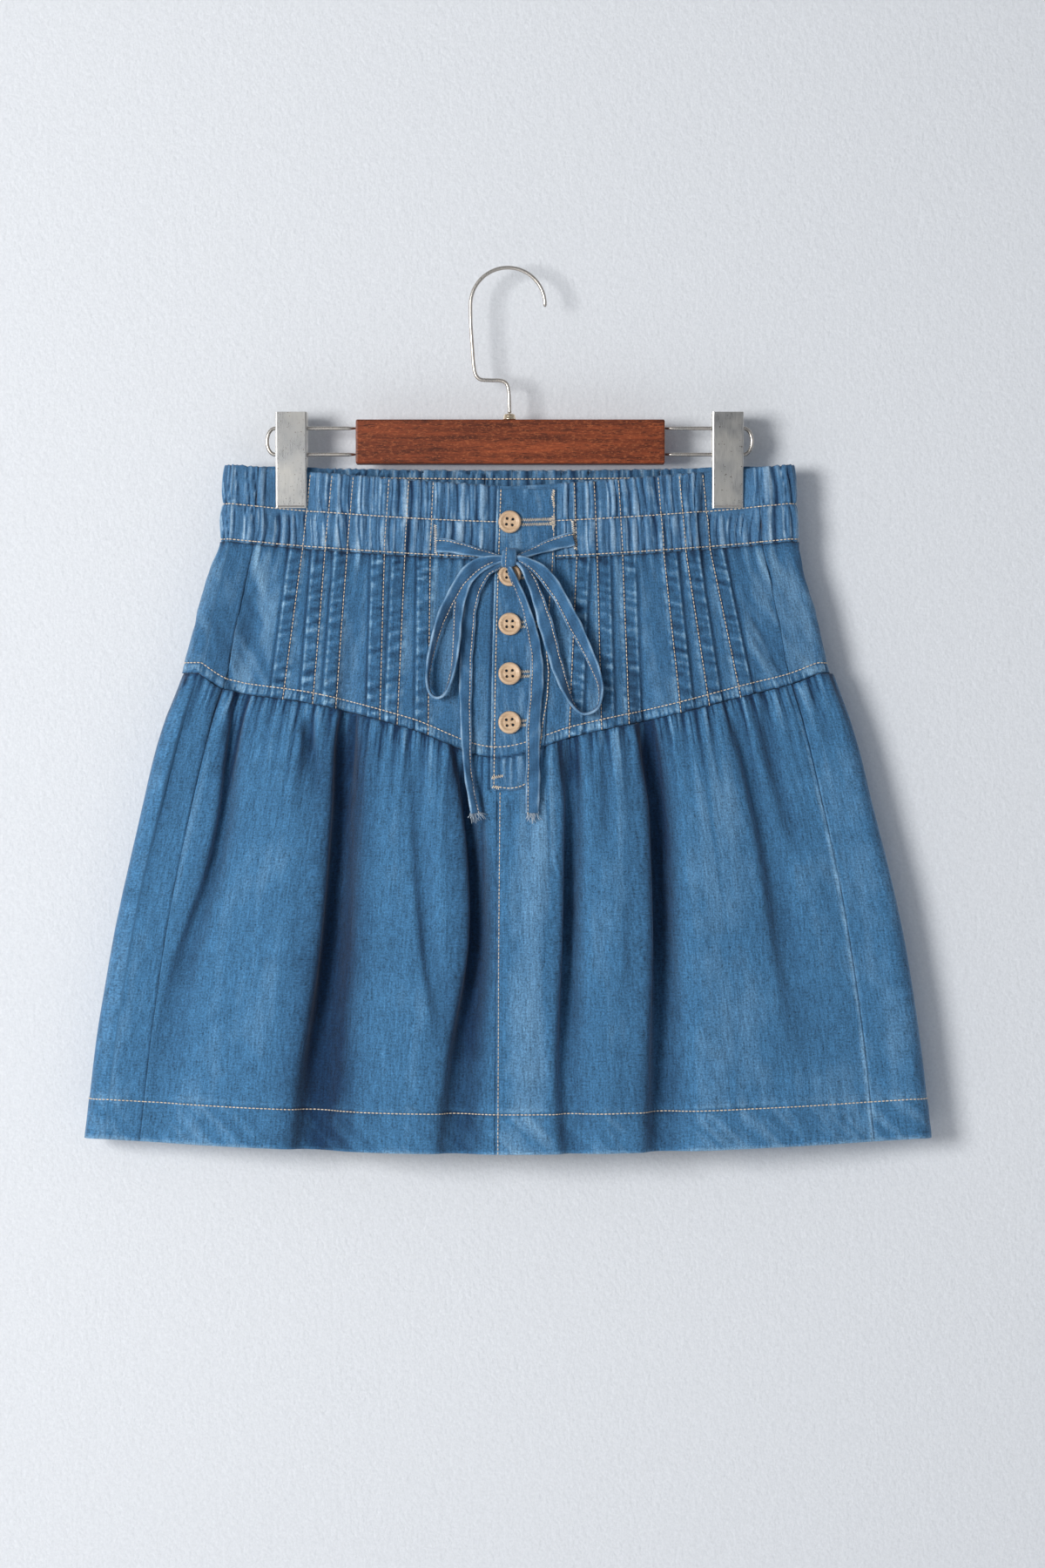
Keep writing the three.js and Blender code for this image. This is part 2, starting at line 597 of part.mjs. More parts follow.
// ---- Solids for the trim
function solidOf(geometry) {
  const bare = geometry.clone();
  bare.deleteAttribute("normal");
  bare.deleteAttribute("uv");
  const merged = mergeVertices(bare, 1e-4);
  const vertProperties = new Float32Array(merged.attributes.position.array);
  return new wasm.Manifold(new wasm.Mesh({ numProp: 3, vertProperties, triVerts: new Uint32Array(merged.index.array) }));
}
function geometryOf(solid) {
  const { vertProperties, triVerts } = solid.getMesh();
  const geometry = new THREE.BufferGeometry();
  geometry.setAttribute("position", new THREE.Float32BufferAttribute(vertProperties, 3));
  geometry.setIndex(Array.from(triVerts));
  return geometry;
}
const turnedAbout = (profile, sides) => new THREE.LatheGeometry(profile.map((p) => new THREE.Vector2(...p)), sides);

// ---- Buttons: turned discs with a raised rim and four holes, each flat on the placket
function button() {
  const { across, thick, rim, dish, round, crown, slope } = BUTTON;
  const radius = across / 2;
  const profile = [
    [0, 0],
    [radius - round, 0],
    [radius, round],
    [radius, thick - crown],
    [radius - crown, thick],
    [radius - rim, thick],
    [radius - rim - slope, thick - dish],
    [0, thick - dish],
  ];
  const bore = BUTTON_HOLE.across / 2;
  const drill = new THREE.CylinderGeometry(bore, bore, 3 * thick, BUTTON_HOLE.sides);
  const out = BUTTON_HOLE.spread / 2;
  const drilled = [[1, 1], [1, -1], [-1, 1], [-1, -1]].reduce(
    (solid, [x, z]) => solid.subtract(solidOf(drill.clone().translate(x * out, 0, z * out))),
    solidOf(turnedAbout(profile, 20)),
  );
  return geometryOf(drilled);
}
BUTTON_HEIGHTS.forEach((z, i) => {
  const q = acrossFront(BUTTON.x, z);
  const reach = BUTTON.across / 2;
  const up = surface(q, z + reach).sub(surface(q, z - reach));
  const facing = new THREE.Vector3(0, -up.z, up.y).normalize();
  const mesh = add(`button_${i + 1}`, button(), corozo);
  mesh.quaternion.setFromUnitVectors(new THREE.Vector3(0, 1, 0), facing);
  mesh.position.copy(surface(q, z).addScaledVector(facing, PLACKET_LIFT + PLACKET + SEAM_GAP));
});

// ---- Drawstring: flat straps along their runs, and the knot that joins them
function strap(stations) {
  const { width, thick } = TIE;
  const at = stations.map(({ x, z, lift }) => {
    const point = raised(acrossFront(x, z), z, 0, false);
    return point.setY(point.y - lift);
  });
  const curve = new THREE.CatmullRomCurve3(at);
  const steps = 2 * (stations.length - 1);
  const rows = [thick, 0].map((out) =>
    evenly(0, 1, steps).map((t) => {
      const point = curve.getPoint(t);
      const along = curve.getTangent(t);
      const side = new THREE.Vector3(-along.z, 0, along.x).normalize().multiplyScalar(width / 2);
      const lifted = point.clone().setY(point.y - out);
      const points = [
        { at: lifted.clone().sub(side), t: 0 },
        { at: lifted.clone().add(side), t: 1 },
      ];
      return { v: t, points };
    }),
  );
  return wall(rows[0], rows[1]);
}
for (const [name, stations] of Object.entries(TIE_RUNS)) add(name, strap(stations), tieDenim);

function knot() {
  const { wide, high, thick } = KNOT;
  const ball = new THREE.IcosahedronGeometry(1, 2);
  return ball.scale(wide / 2, thick / 2, high / 2);
}
add("tie_knot", knot(), tieDenim).position.set(
  KNOT.x,
  surface(acrossFront(KNOT.x, KNOT.z), KNOT.z).y - KNOT.lift,
  KNOT.z,
);

// ---- Hook: bent wire, from its free end over the bow and down the neck into the ferrule
function wireAlong(points, steps) {
  const section = new THREE.Shape();
  section.absarc(0, 0, WIRE.radius, 0, 2 * Math.PI);
  return new THREE.ExtrudeGeometry(section, {
    steps,
    curveSegments: WIRE.sides / 2,
    bevelEnabled: false,
    extrudePath: new THREE.CatmullRomCurve3(points),
  });
}
function hook() {
  const bow = evenly(BOW.from, 180, BOW.steps).map((turn) => {
    const [x, z] = [Math.cos(radians(turn)), Math.sin(radians(turn)) - 1];
    return new THREE.Vector3(BOW.x + BOW.radius * x, 0, WIRE.radius + BOW.radius * z);
  });
  const neck = NECK.map(({ x, z }) => new THREE.Vector3(x, 0, z));
  const foot = new THREE.Vector3(FERRULE.x, 0, FERRULE.top + SEAM_GAP);
  return wireAlong([...bow, ...neck, foot], WIRE.steps);
}
add("hanger_hook", hook(), wire);

// ---- Ferrule and bar
function ferrule() {
  const { radius, top, bottom, foot, footHigh, shoulder, taper } = FERRULE;
  const high = top - bottom;
  const flared = radius + foot;
  const profile = [[0, 0], [flared, 0], [flared, footHigh], [radius, shoulder], [radius - taper, high], [0, high]];
  return turnedAbout(profile, 16);
}
const collar = add("hanger_ferrule", ferrule(), wire);
collar.rotation.x = Math.PI / 2;
collar.position.set(FERRULE.x, 0, FERRULE.bottom);

function bar() {
  const { half, height, depth, round } = BAR;
  const face = new THREE.Shape();
  face.moveTo(-half + round, -height / 2 + round);
  face.lineTo(half - round, -height / 2 + round);
  face.lineTo(half - round, height / 2 - round);
  face.lineTo(-half + round, height / 2 - round);
  const bevel = { bevelThickness: round, bevelSize: round, bevelSegments: 2 };
  const solid = new THREE.ExtrudeGeometry(face, { depth: depth - 2 * round, ...bevel });
  return solid.translate(0, 0, -(depth - 2 * round) / 2).rotateX(Math.PI / 2);
}
add("hanger_bar", bar(), timber).position.set(BAR.x, 0, BAR.top - BAR.height / 2);

// ---- Rails: a bent wire at each end of the bar, along which a clip slides
function rail(side) {
  const from = BAR.x + side * (BAR.half + SEAM_GAP);
  const to = side * (RAIL.reach - RAIL.bend);
  const point = (x, z) => new THREE.Vector3(x, 0, z);
  const middle = (RAIL.upper + RAIL.lower) / 2;
  const rise = (RAIL.upper - RAIL.lower) / 2;
  const straight = (z, list) => list.map((t) => point(mix(from, to, t), z));
  const bend = evenly(90, -90, RAIL.bends).map((turn) =>
    point(to + side * RAIL.bend * Math.cos(radians(turn)), middle + rise * Math.sin(radians(turn))),
  );
  return wireAlong(
    [...straight(RAIL.upper, [0, 0.33, 0.66]), ...bend, ...straight(RAIL.lower, [0.66, 0.33, 0])],
    RAIL.steps,
  );
}
add("hanger_rail_left", rail(-1), wire);
add("hanger_rail_right", rail(1), wire);

// ---- Clips: two pressed plates that grip the waistband between their lips, with a spring between them.
// Flanges stiffen each plate above the jaw and stop short of the rails.
function clipPlate(facing) {
  const { width, top, bottom, plate, out, shoulder, jaw } = CLIP;
  const lip = CASING + 3 * SEAM_GAP;
  const outline = (points) => new THREE.Shape(points.map(([y, z]) => new THREE.Vector2(y, z)));
  const across = (shape, from, depth) =>
    new THREE.ExtrudeGeometry(shape, { depth, bevelEnabled: false })
      .applyMatrix4(new THREE.Matrix4().set(0, 0, 1, from, facing, 0, 0, 0, 0, 1, 0, 0, 0, 0, 0, 1));
  const face = outline([
    [out, top],
    [out, shoulder],
    [lip + plate, jaw],
    [lip + plate, bottom],
    [lip, bottom],
    [lip, jaw - SEAM_GAP],
    [out - plate, shoulder - SEAM_GAP],
    [out - plate, top],
  ]);
  const inner = WIRE.radius + FLANGE.clear;
  const flange = outline([
    [out - FLANGE.lap, top],
    [out - FLANGE.lap, shoulder],
    [inner + FLANGE.hollow, shoulder],
    [inner, FLANGE.from],
    [inner, top],
  ]);
  return [
    across(face, -width / 2, width),
    across(flange, -width / 2, plate),
    across(flange, width / 2 - plate, plate),
  ];
}
function clip(facing) {
  const [face, ...flanges] = clipPlate(facing).map((piece) => solidOf(facing > 0 ? piece : flipFaces(piece)));
  return geometryOf(flanges.reduce((solid, flange) => solid.add(flange), face));
}
function flipFaces(geometry) {
  const flat = geometry.index ? geometry.toNonIndexed() : geometry;
  const { array } = flat.attributes.position;
  for (let i = 0; i < array.length; i += 9) {
    for (let k = 0; k < 3; k += 1) [array[i + 3 + k], array[i + 6 + k]] = [array[i + 6 + k], array[i + 3 + k]];
  }
  return flat;
}
for (const [name, side] of [["left", -1], ["right", 1]]) {
  add(`clip_${name}_front`, clip(-1), clipSteel).position.x = side * CLIP.x;
  add(`clip_${name}_back`, clip(1), clipSteel).position.x = side * CLIP.x;
  const { radius, half, sides, z } = CLIP_SPRING;
  const spring = add(`clip_${name}_spring`, new THREE.CylinderGeometry(radius, radius, 2 * half, sides), wire);
  spring.rotation.z = Math.PI / 2;
  spring.position.set(side * CLIP.x, 0, z);
}

export default hungSkirt;
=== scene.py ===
import math

import bmesh
import bpy
import numpy as np
from mathutils import Matrix, Vector
from mathutils.bvhtree import BVHTree


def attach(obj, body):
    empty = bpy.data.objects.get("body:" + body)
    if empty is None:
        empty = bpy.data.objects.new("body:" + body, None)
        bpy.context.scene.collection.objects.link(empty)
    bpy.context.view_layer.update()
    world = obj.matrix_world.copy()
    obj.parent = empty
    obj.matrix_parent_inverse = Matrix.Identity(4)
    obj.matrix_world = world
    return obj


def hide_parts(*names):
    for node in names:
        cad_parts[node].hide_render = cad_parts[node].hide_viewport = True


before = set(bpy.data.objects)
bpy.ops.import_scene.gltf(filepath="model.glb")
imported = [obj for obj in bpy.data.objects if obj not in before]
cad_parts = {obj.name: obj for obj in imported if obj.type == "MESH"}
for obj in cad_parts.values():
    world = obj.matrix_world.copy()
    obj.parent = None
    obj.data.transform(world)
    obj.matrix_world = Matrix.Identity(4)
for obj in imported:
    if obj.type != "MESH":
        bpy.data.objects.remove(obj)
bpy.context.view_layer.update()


# ---------------------------------------------------------------- Waistband
# The waistband is two layers of light denim round two elastics, 25 mm each, with a row of stitching between
# them and one below. The elastics draw it up, so it puffs and gathers all round, except under the button
# strip. Its surface, and the whole skirt's, is worked out from the outline at each height, in millimetres.
MM = 0.001
SEAM_GAP = 0.3
CLOTH = 1.4
CASING = 2.4

# Half width, stand of the front and the back from the hanger's plane, and the side fold's radius, by height.
SECTIONS = {
    "z": [-126, -150, -174, -200, -230, -257, -285, -330, -400, -480, -551],
    "half": [180, 181.5, 183, 189.5, 197, 203, 213, 226, 243.5, 258, 266.5],
    "front": [10, 11.5, 13, 16, 19, 22, 26, 31, 35, 36, 36],
    "back": [9, 9.5, 10.5, 12, 14, 15, 17, 19, 20, 21, 21],
    "end": [5, 5, 5, 5.5, 6, 6.5, 7, 8, 9, 10, 10],
}
SWELL = 1.25
# Each line's level at the sides, its dip in the middle, front and back, and how the front's dip rounds.
LINES = {
    "top": (-126, 14, 2.5, 1.2),
    "row1": (-149, 12, 3, 1.5),
    "row2": (-173, 12, 4, 1.5),
    "hem": (-551, 8, 5, 2),
}
YOKE_SEAM = {
    "e": [-1, -0.9, -0.6, -0.3, -0.045, 0.2, 0.5, 0.75, 0.9, 1],
    "z": [-256.5, -267, -276.5, -292, -310, -296.5, -283, -270.5, -263.5, -256.5],
}
YOKE_SEAM_BACK_DIP = 24
SIDE_SEAM = (-0.91, 0.9)
CENTRE_SEAM = -0.035
CLIP_X = 138.4

# Each fold's trough: heights, and its place, depth and half width at each.
FRONT_FOLDS = [
    ([-190, -262, -310, -350, -390, -430, -470, -551], [-152, -170, -178, -182, -190, -203, -213, -224],
     [2, 5, 9, 9, 8, 6, 4, 0.5], [8, 7, 7, 8, 9, 10, 12, 16]),
    ([-200, -275, -340, -430, -510, -556], [-91, -102, -107, -114, -122, -126], [0, 8, 17, 20, 15, 11],
     [8, 9, 12, 14, 18, 20]),
    ([-275, -300, -350], [-128, -128, -132], [0, 4, 0], [6, 6, 8]),
    ([-285, -340, -430, -480, -510], [-60, -57, -51, -42, -38], [0, 3, 5, 2, 0], [7, 8, 8, 9, 9]),
    ([-290, -320, -370, -430, -500, -558], [-33, -30, -24, -23, -31, -35], [0, 9, 15, 17, 12, 8],
     [8, 8, 9, 10, 14, 16]),
    ([-290, -320, -370, -430, -500, -558], [38, 38, 37, 36, 35, 39], [0, 6, 12, 14, 10, 7],
     [7, 7, 8, 9, 11, 12]),
    ([-200, -280, -340, -430, -510, -556], [76, 84, 91, 94, 95, 95], [0, 7, 16, 19, 14, 10],
     [7, 8, 11, 12, 15, 16]),
    ([-270, -300, -370, -440, -510], [138, 146, 163, 176, 190], [1, 5, 6, 4, 0], [7, 7, 10, 12, 14]),
]
BACK_FOLDS = [
    ([-210, -290, -430, -556], [120, 128, 148, 158], [0, 5, 9, 6], [10, 11, 15, 19]),
    ([-220, -300, -430, -556], [40, 44, 55, 62], [0, 5, 9, 6], [10, 11, 14, 18]),
    ([-220, -300, -430, -556], [-36, -38, -46, -50], [0, 5, 8, 5], [10, 10, 13, 17]),
    ([-210, -290, -430, -556], [-112, -118, -136, -146], [0, 5, 10, 6], [10, 11, 15, 20]),
]
SIDE = 0.05
ROUND = 2 + 2 * SIDE


def ease(t):
    t = np.clip(t, 0, 1)
    return t * t * (3 - 2 * t)


def hump(away, width):
    """1 where away is 0, falling off smoothly to both sides."""
    return np.exp(-((away / width) ** 2))


def fade(away, width):
    """1 where away is 0, dying out beyond it."""
    return np.exp(-away / width)


def along_table(keys, values, at):
    """A column of a table at a value of its key, on a smooth curve through its rows."""
    keys, values, at = np.asarray(keys, float), np.asarray(values, float), np.asarray(at, float)
    if keys[1] < keys[0]:
        keys, values = keys[::-1], values[::-1]
    i = np.clip(np.searchsorted(keys, at) - 1, 0, len(keys) - 2)
    before, after = np.maximum(i - 1, 0), np.minimum(i + 2, len(keys) - 1)
    span = keys[i + 1] - keys[i]
    t = np.clip((at - keys[i]) / span, 0, 1)
    rise = (values[i + 1] - values[before]) / (keys[i + 1] - keys[before]) * span
    fall = (values[after] - values[i]) / (keys[after] - keys[i]) * span
    t2, t3 = t * t, t * t * t
    return (
        (2 * t3 - 3 * t2 + 1) * values[i] + (t3 - 2 * t2 + t) * rise
        + (3 * t2 - 2 * t3) * values[i + 1] + (t3 - t2) * fall
    )


def share_across(q):
    """-1 at the front's left end and 1 at its right; q goes round by the front, right side, back and left."""
    return np.where(q <= 1, 2 * q - 1, 1 - 2 * np.clip(q - 1 - SIDE, 0, 1))


def by_side(q, side):
    """1 round the left (-1) or right (1) side, fading over the front and the back."""
    e = share_across(q)
    return np.where(e * side > 0, hump(1 - np.abs(e), 0.06), 0)


def line_height(line, q):
    q = np.asarray(q, float)
    e = share_across(q)
    if line == "seam":
        front = along_table(YOKE_SEAM["e"], YOKE_SEAM["z"], e)
        return np.where(q <= 1, front, YOKE_SEAM["z"][0] - YOKE_SEAM_BACK_DIP * (1 - e * e))
    side, front_dip, back_dip, power = LINES[line]
    return side - np.where(q <= 1, front_dip * (1 - np.abs(e) ** power), back_dip * (1 - e * e))


def fold_depth(folds, x, z):
    depth = np.zeros(np.broadcast(x, z).shape)
    for heights, places, depths, widths in folds:
        away = (x - along_table(heights, places, z)) / along_table(heights, widths, z)
        deep = np.maximum(along_table(heights, depths, z), 0)
        inside = (z <= heights[0]) & ((z >= heights[-1]) | (depths[-1] > 0))
        depth = depth + np.where(inside, deep * np.exp(-away * away), 0)
    return depth


def grip(x, z):
    """How firmly the clips press the cloth: 1 under a jaw, 0 away from it."""
    return np.exp(-(np.abs(np.abs(x) - CLIP_X) / 17.5) ** 6) * ease((z + 205) / 51)


def reach_at(z):
    return along_table(SECTIONS["z"], SECTIONS["half"], z) - along_table(SECTIONS["z"], SECTIONS["end"], z)


def place_across(q, z):
    return share_across(q) * reach_at(z)


def surface(q, z, folded=True):
    """The cloth's smooth outer surface, with its large folds: x and y for each place and height, in mm."""
    q, z = np.broadcast_arrays(np.asarray(q, float), np.asarray(z, float))
    q = np.where(q > ROUND, q - ROUND, np.where(q < 0, q + ROUND, q))
    end = along_table(SECTIONS["z"], SECTIONS["end"], z)
    reach = reach_at(z)
    e = share_across(q)
    x = e * reach
    is_front = q <= 1
    deep = np.where(
        is_front,
        along_table(SECTIONS["z"], SECTIONS["front"], z),
        along_table(SECTIONS["z"], SECTIONS["back"], z),
    )
    folds = 0
    if folded:
        folds = np.where(is_front, fold_depth(FRONT_FOLDS, x, z), fold_depth(BACK_FOLDS, x, z))
    loose = end + (deep - end) * np.clip(1 - e * e, 0, 1) ** SWELL - folds
    held = grip(x, z)
    y = loose * (1 - held) + (CASING + SEAM_GAP) * held
    y = np.where(is_front, -y, y)
    right = (q > 1) & (q < 1 + SIDE)
    left = q > 2 + SIDE
    turn = np.where(right, (q - 1) / SIDE, (q - 2 - SIDE) / SIDE) * math.pi
    side = np.where(right, 1, -1)
    x = np.where(right | left, side * (reach + end * np.sin(turn)), x)
    y = np.where(right | left, -side * end * np.cos(turn), y)
    return x, y


def raised(q, z, height):
    """Points of the cloth, stood out level from its smooth surface by height, in mm."""
    step = 0.002
    x, y = surface(q, z)
    x1, y1 = surface(q + step, z)
    x0, y0 = surface(q - step, z)
    along = np.stack([x1 - x0, y1 - y0])
    along = along / np.maximum(np.linalg.norm(along, axis=0), 1e-9)
    return np.stack([x + along[1] * height, y - along[0] * height, np.broadcast_to(z, x.shape)], axis=-1)


def across_front(x, z):
    return (x / reach_at(z) + 1) / 2


PANELS = {
    "front_left": ((SIDE_SEAM[0] + 1) / 2, (CENTRE_SEAM + 1) / 2),
    "front_right": ((CENTRE_SEAM + 1) / 2, (SIDE_SEAM[1] + 1) / 2),
    "back": ((SIDE_SEAM[1] + 1) / 2, ROUND + (SIDE_SEAM[0] + 1) / 2),
}
WAIST_WAVES = {"front_left": 22, "front_right": 22, "back": 42}
SEAM_WAVES = {"front_left": 20, "front_right": 20, "back": 36}
WAIST_WAVE, WAIST_PUFF, WAIST_MIDDLE = 1.3, 0.8, -146
CLOTH_RUN = 400  # mm of cloth to a step of 1 in q


def panel_seed(panel, first):
    """A seed of its own for each panel of a tier, counted on from the first."""
    return first + list(PANELS).index(panel)


def gather_places(panel, waves):
    """Crests and troughs of a run of gathers, unevenly spaced, and how far each stands out."""
    k = np.arange(2 * waves + 1)
    shift = 0.26 * np.sin(2.4 * k) + 0.12 * np.sin(5.1 * k + 1)
    shift[[0, -1]] = 0
    start, stop = PANELS[panel]
    heights = np.where(k % 2 == 1, 1, -0.15) * (0.72 + 0.28 * np.sin(1.7 * k + 0.6))
    return start + (stop - start) * (k + shift) / (2 * waves), heights


def gathers(panel, waves, q, sharpness=1.0):
    """A smooth run of rounded crests with narrow valleys between, from 0 to 1."""
    places, heights = gather_places(panel, waves)
    i = np.clip(np.searchsorted(places, q) - 1, 0, len(places) - 2)
    t = np.clip((q - places[i]) / (places[i + 1] - places[i]), 0, 1)
    blend = 0.5 - 0.5 * np.cos(math.pi * t)
    rising = heights[i + 1] > heights[i]
    blend = np.where(rising, blend ** (1 / sharpness), 1 - (1 - blend) ** (1 / sharpness))
    return heights[i] + (heights[i + 1] - heights[i]) * blend


def pleats(at, seed):
    """Uneven pleats, one to a unit, from 0 in sharp valleys to 1 on crests, and a narrow strip beside each
    valley for a painted highlight along the worn ridge.
    """
    uneven = at + 0.28 * np.sin(0.83 * at + seed) + 0.2 * np.sin(2.1 * at + 2 * seed)
    return np.sqrt(np.abs(np.sin(math.pi * uneven))), hump(uneven % 1 - 0.83, 0.1)


def ripple(a, b, seed):
    """Soft, uneven ripples from -1 to 1 over two measures; the same each time for one seed."""
    rng = np.random.default_rng(seed)
    total, weight = 0, 0
    for octave in range(5):
        for _ in range(3):
            fa, fb = rng.uniform(0.6, 1.6, 2) * 1.7**octave
            phase, share = rng.uniform(0, 2 * math.pi), 0.75**octave
            total = total + share * np.sin(fa * a + fb * b * rng.choice([-1, 1]) + phase)
            weight += share
    return total / (0.55 * weight)


# The button strip's edges, by height. Its last three rows round off its lower end.
STRIP_Z = [-138, -200, -260, -318, -324, -329, -331]
STRIP_LEFT = [-7.6, -9.5, -11, -11.8, -11.8, -11.5, -9.5]
STRIP_RIGHT = [29.5, 28.5, 24.5, 20.5, 18, 10, 3]
PLACKET_Z, PLACKET_LEFT, PLACKET_RIGHT = STRIP_Z[:4], STRIP_LEFT[:4], STRIP_RIGHT[:4]


def under_placket(q, z):
    """1 where the button strip lies on the cloth, 0 away from it."""
    x = place_across(q, z)
    left, right = along_table(PLACKET_Z, PLACKET_LEFT, z), along_table(PLACKET_Z, PLACKET_RIGHT, z)
    covered = ease((x - left + 6) / 5) * ease((right + 6 - x) / 5)
    return np.where((q > 1) | (z < STRIP_Z[-1] - 6), 0, covered)


def strip_shade(q, z):
    """1 along the cloth just left of the button strip's free edge, fading away from it, where the strip's
    shadow is painted.
    """
    away = place_across(q, z) - along_table(PLACKET_Z, PLACKET_LEFT, z) + 1.0
    return np.where((q > 1) | (z < STRIP_Z[-1]), 0, hump(away, 1.1))


def new_object(name, data):
    made = bpy.data.objects.new(name, data)
    bpy.context.collection.objects.link(made)
    return made


def make_piece(name, points, faces, material, uv=None, wear_and_shade=None, smooth=True):
    """A mesh piece from points in mm, with the cloth's coordinates and its wear and painted shade where it is
    denim.
    """
    mesh = bpy.data.meshes.new(name)
    mesh.from_pydata((np.asarray(points, float).reshape(-1, 3) * MM).tolist(), [], faces)
    if uv is not None:
        corners = np.empty(len(mesh.loops), int)
        mesh.loops.foreach_get("vertex_index", corners)
        layer = mesh.uv_layers.new(name="cloth")
        layer.data.foreach_set("uv", (np.asarray(uv).reshape(-1, 2)[corners] * MM).astype(np.float32).ravel())
        # The wear attribute holds real wash wear together with painted shade and painted highlights.
        wear_and_shade_layer = mesh.attributes.new("wear_and_shade", "FLOAT", "POINT")
        wear_and_shade_layer.data.foreach_set("value", np.clip(wear_and_shade, 0, 1).astype(np.float32).ravel())
    mesh.polygons.foreach_set("use_smooth", [smooth] * len(mesh.polygons))
    mesh.materials.append(material)
    return new_object(name, mesh)


def cloth_panel(name, points, wear_and_shade, uv, thickness, material):
    """A cloth panel from a grid of points in mm, rows from the top down, given its wall by Solidify."""
    rows, columns = points.shape[:2]
    number = np.arange(rows * columns).reshape(rows, columns)
    corners = (number[:-1, :-1], number[1:, :-1], number[1:, 1:], number[:-1, 1:])
    faces = np.stack([corner.ravel() for corner in corners], axis=1).tolist()
    piece = make_piece(name, points, faces, material, uv, wear_and_shade)
    wall = piece.modifiers.new("wall", "SOLIDIFY")
    wall.thickness = thickness * MM
    wall.offset = -1
    return piece


def settle(piece, slot, *replaced):
    """Fixes a piece to the body, in place of the plain nodes that it stands for; its slot is not used."""
    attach(piece, "root")
    if replaced:
        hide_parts(*replaced)
    return piece


def feed(tree, made, inputs):
    """Joins each of a node's inputs to an output, or gives it a value."""
    for key, value in inputs.items():
        if isinstance(value, bpy.types.NodeSocket):
            tree.links.new(value, made.inputs[key])
        else:
            made.inputs[key].default_value = value


def node(tree, kind, inputs=None, **settings):
    made = tree.nodes.new(kind)
    for key, value in settings.items():
        setattr(made, key, value)
    feed(tree, made, inputs or {})
    return made


def noise(tree, vector, scale, detail=3.0, roughness=0.5):
    inputs = {"Vector": vector, "Scale": scale, "Detail": detail, "Roughness": roughness}
    return node(tree, "ShaderNodeTexNoise", inputs).outputs["Fac"]


def stretched(tree, vector, scale):
    return node(tree, "ShaderNodeMapping", {"Vector": vector, "Scale": scale}).outputs["Vector"]


def object_place(tree):
    return node(tree, "ShaderNodeTexCoord").outputs["Object"]


def math_node(tree, operation, a, b=0.0, clamp=False):
    return node(tree, "ShaderNodeMath", {0: a, 1: b}, operation=operation, use_clamp=clamp).outputs[0]


def total(tree, first, *others):
    for value in others:
        first = math_node(tree, "ADD", first, value)
    return first


def ranged(tree, value, low, high, to_low, to_high):
    limits = {"From Min": low, "From Max": high, "To Min": to_low, "To Max": to_high}
    return node(tree, "ShaderNodeMapRange", {"Value": value, **limits}).outputs["Result"]


def mixed(tree, share, a, b, kind="MIX"):
    return node(tree, "ShaderNodeMix", {0: share, 6: a, 7: b}, data_type="RGBA", blend_type=kind).outputs[2]


def node_group(name, kind, inputs, outputs):
    """An empty node group with named sockets, the values given to it, and its last node."""
    tree = bpy.data.node_groups.new(name, kind)
    for way, sockets in (("INPUT", inputs), ("OUTPUT", outputs)):
        for socket, form in sockets.items():
            tree.interface.new_socket(socket, in_out=way, socket_type="NodeSocket" + form)
    return tree, node(tree, "NodeGroupInput").outputs, node(tree, "NodeGroupOutput")


def new_material(name, values):
    material = bpy.data.materials.new(name)
    material.use_nodes = True
    shader = material.node_tree.nodes["Principled BSDF"]
    feed(material.node_tree, shader, values)
    return material, material.node_tree, shader


def bumped(tree, shader, height, strength, depth):
    """Gives a shader a relief, depth in mm."""
    relief = node(tree, "ShaderNodeBump", {"Height": height, "Strength": strength, "Distance": depth * MM})
    tree.links.new(relief.outputs["Normal"], shader.inputs["Normal"])


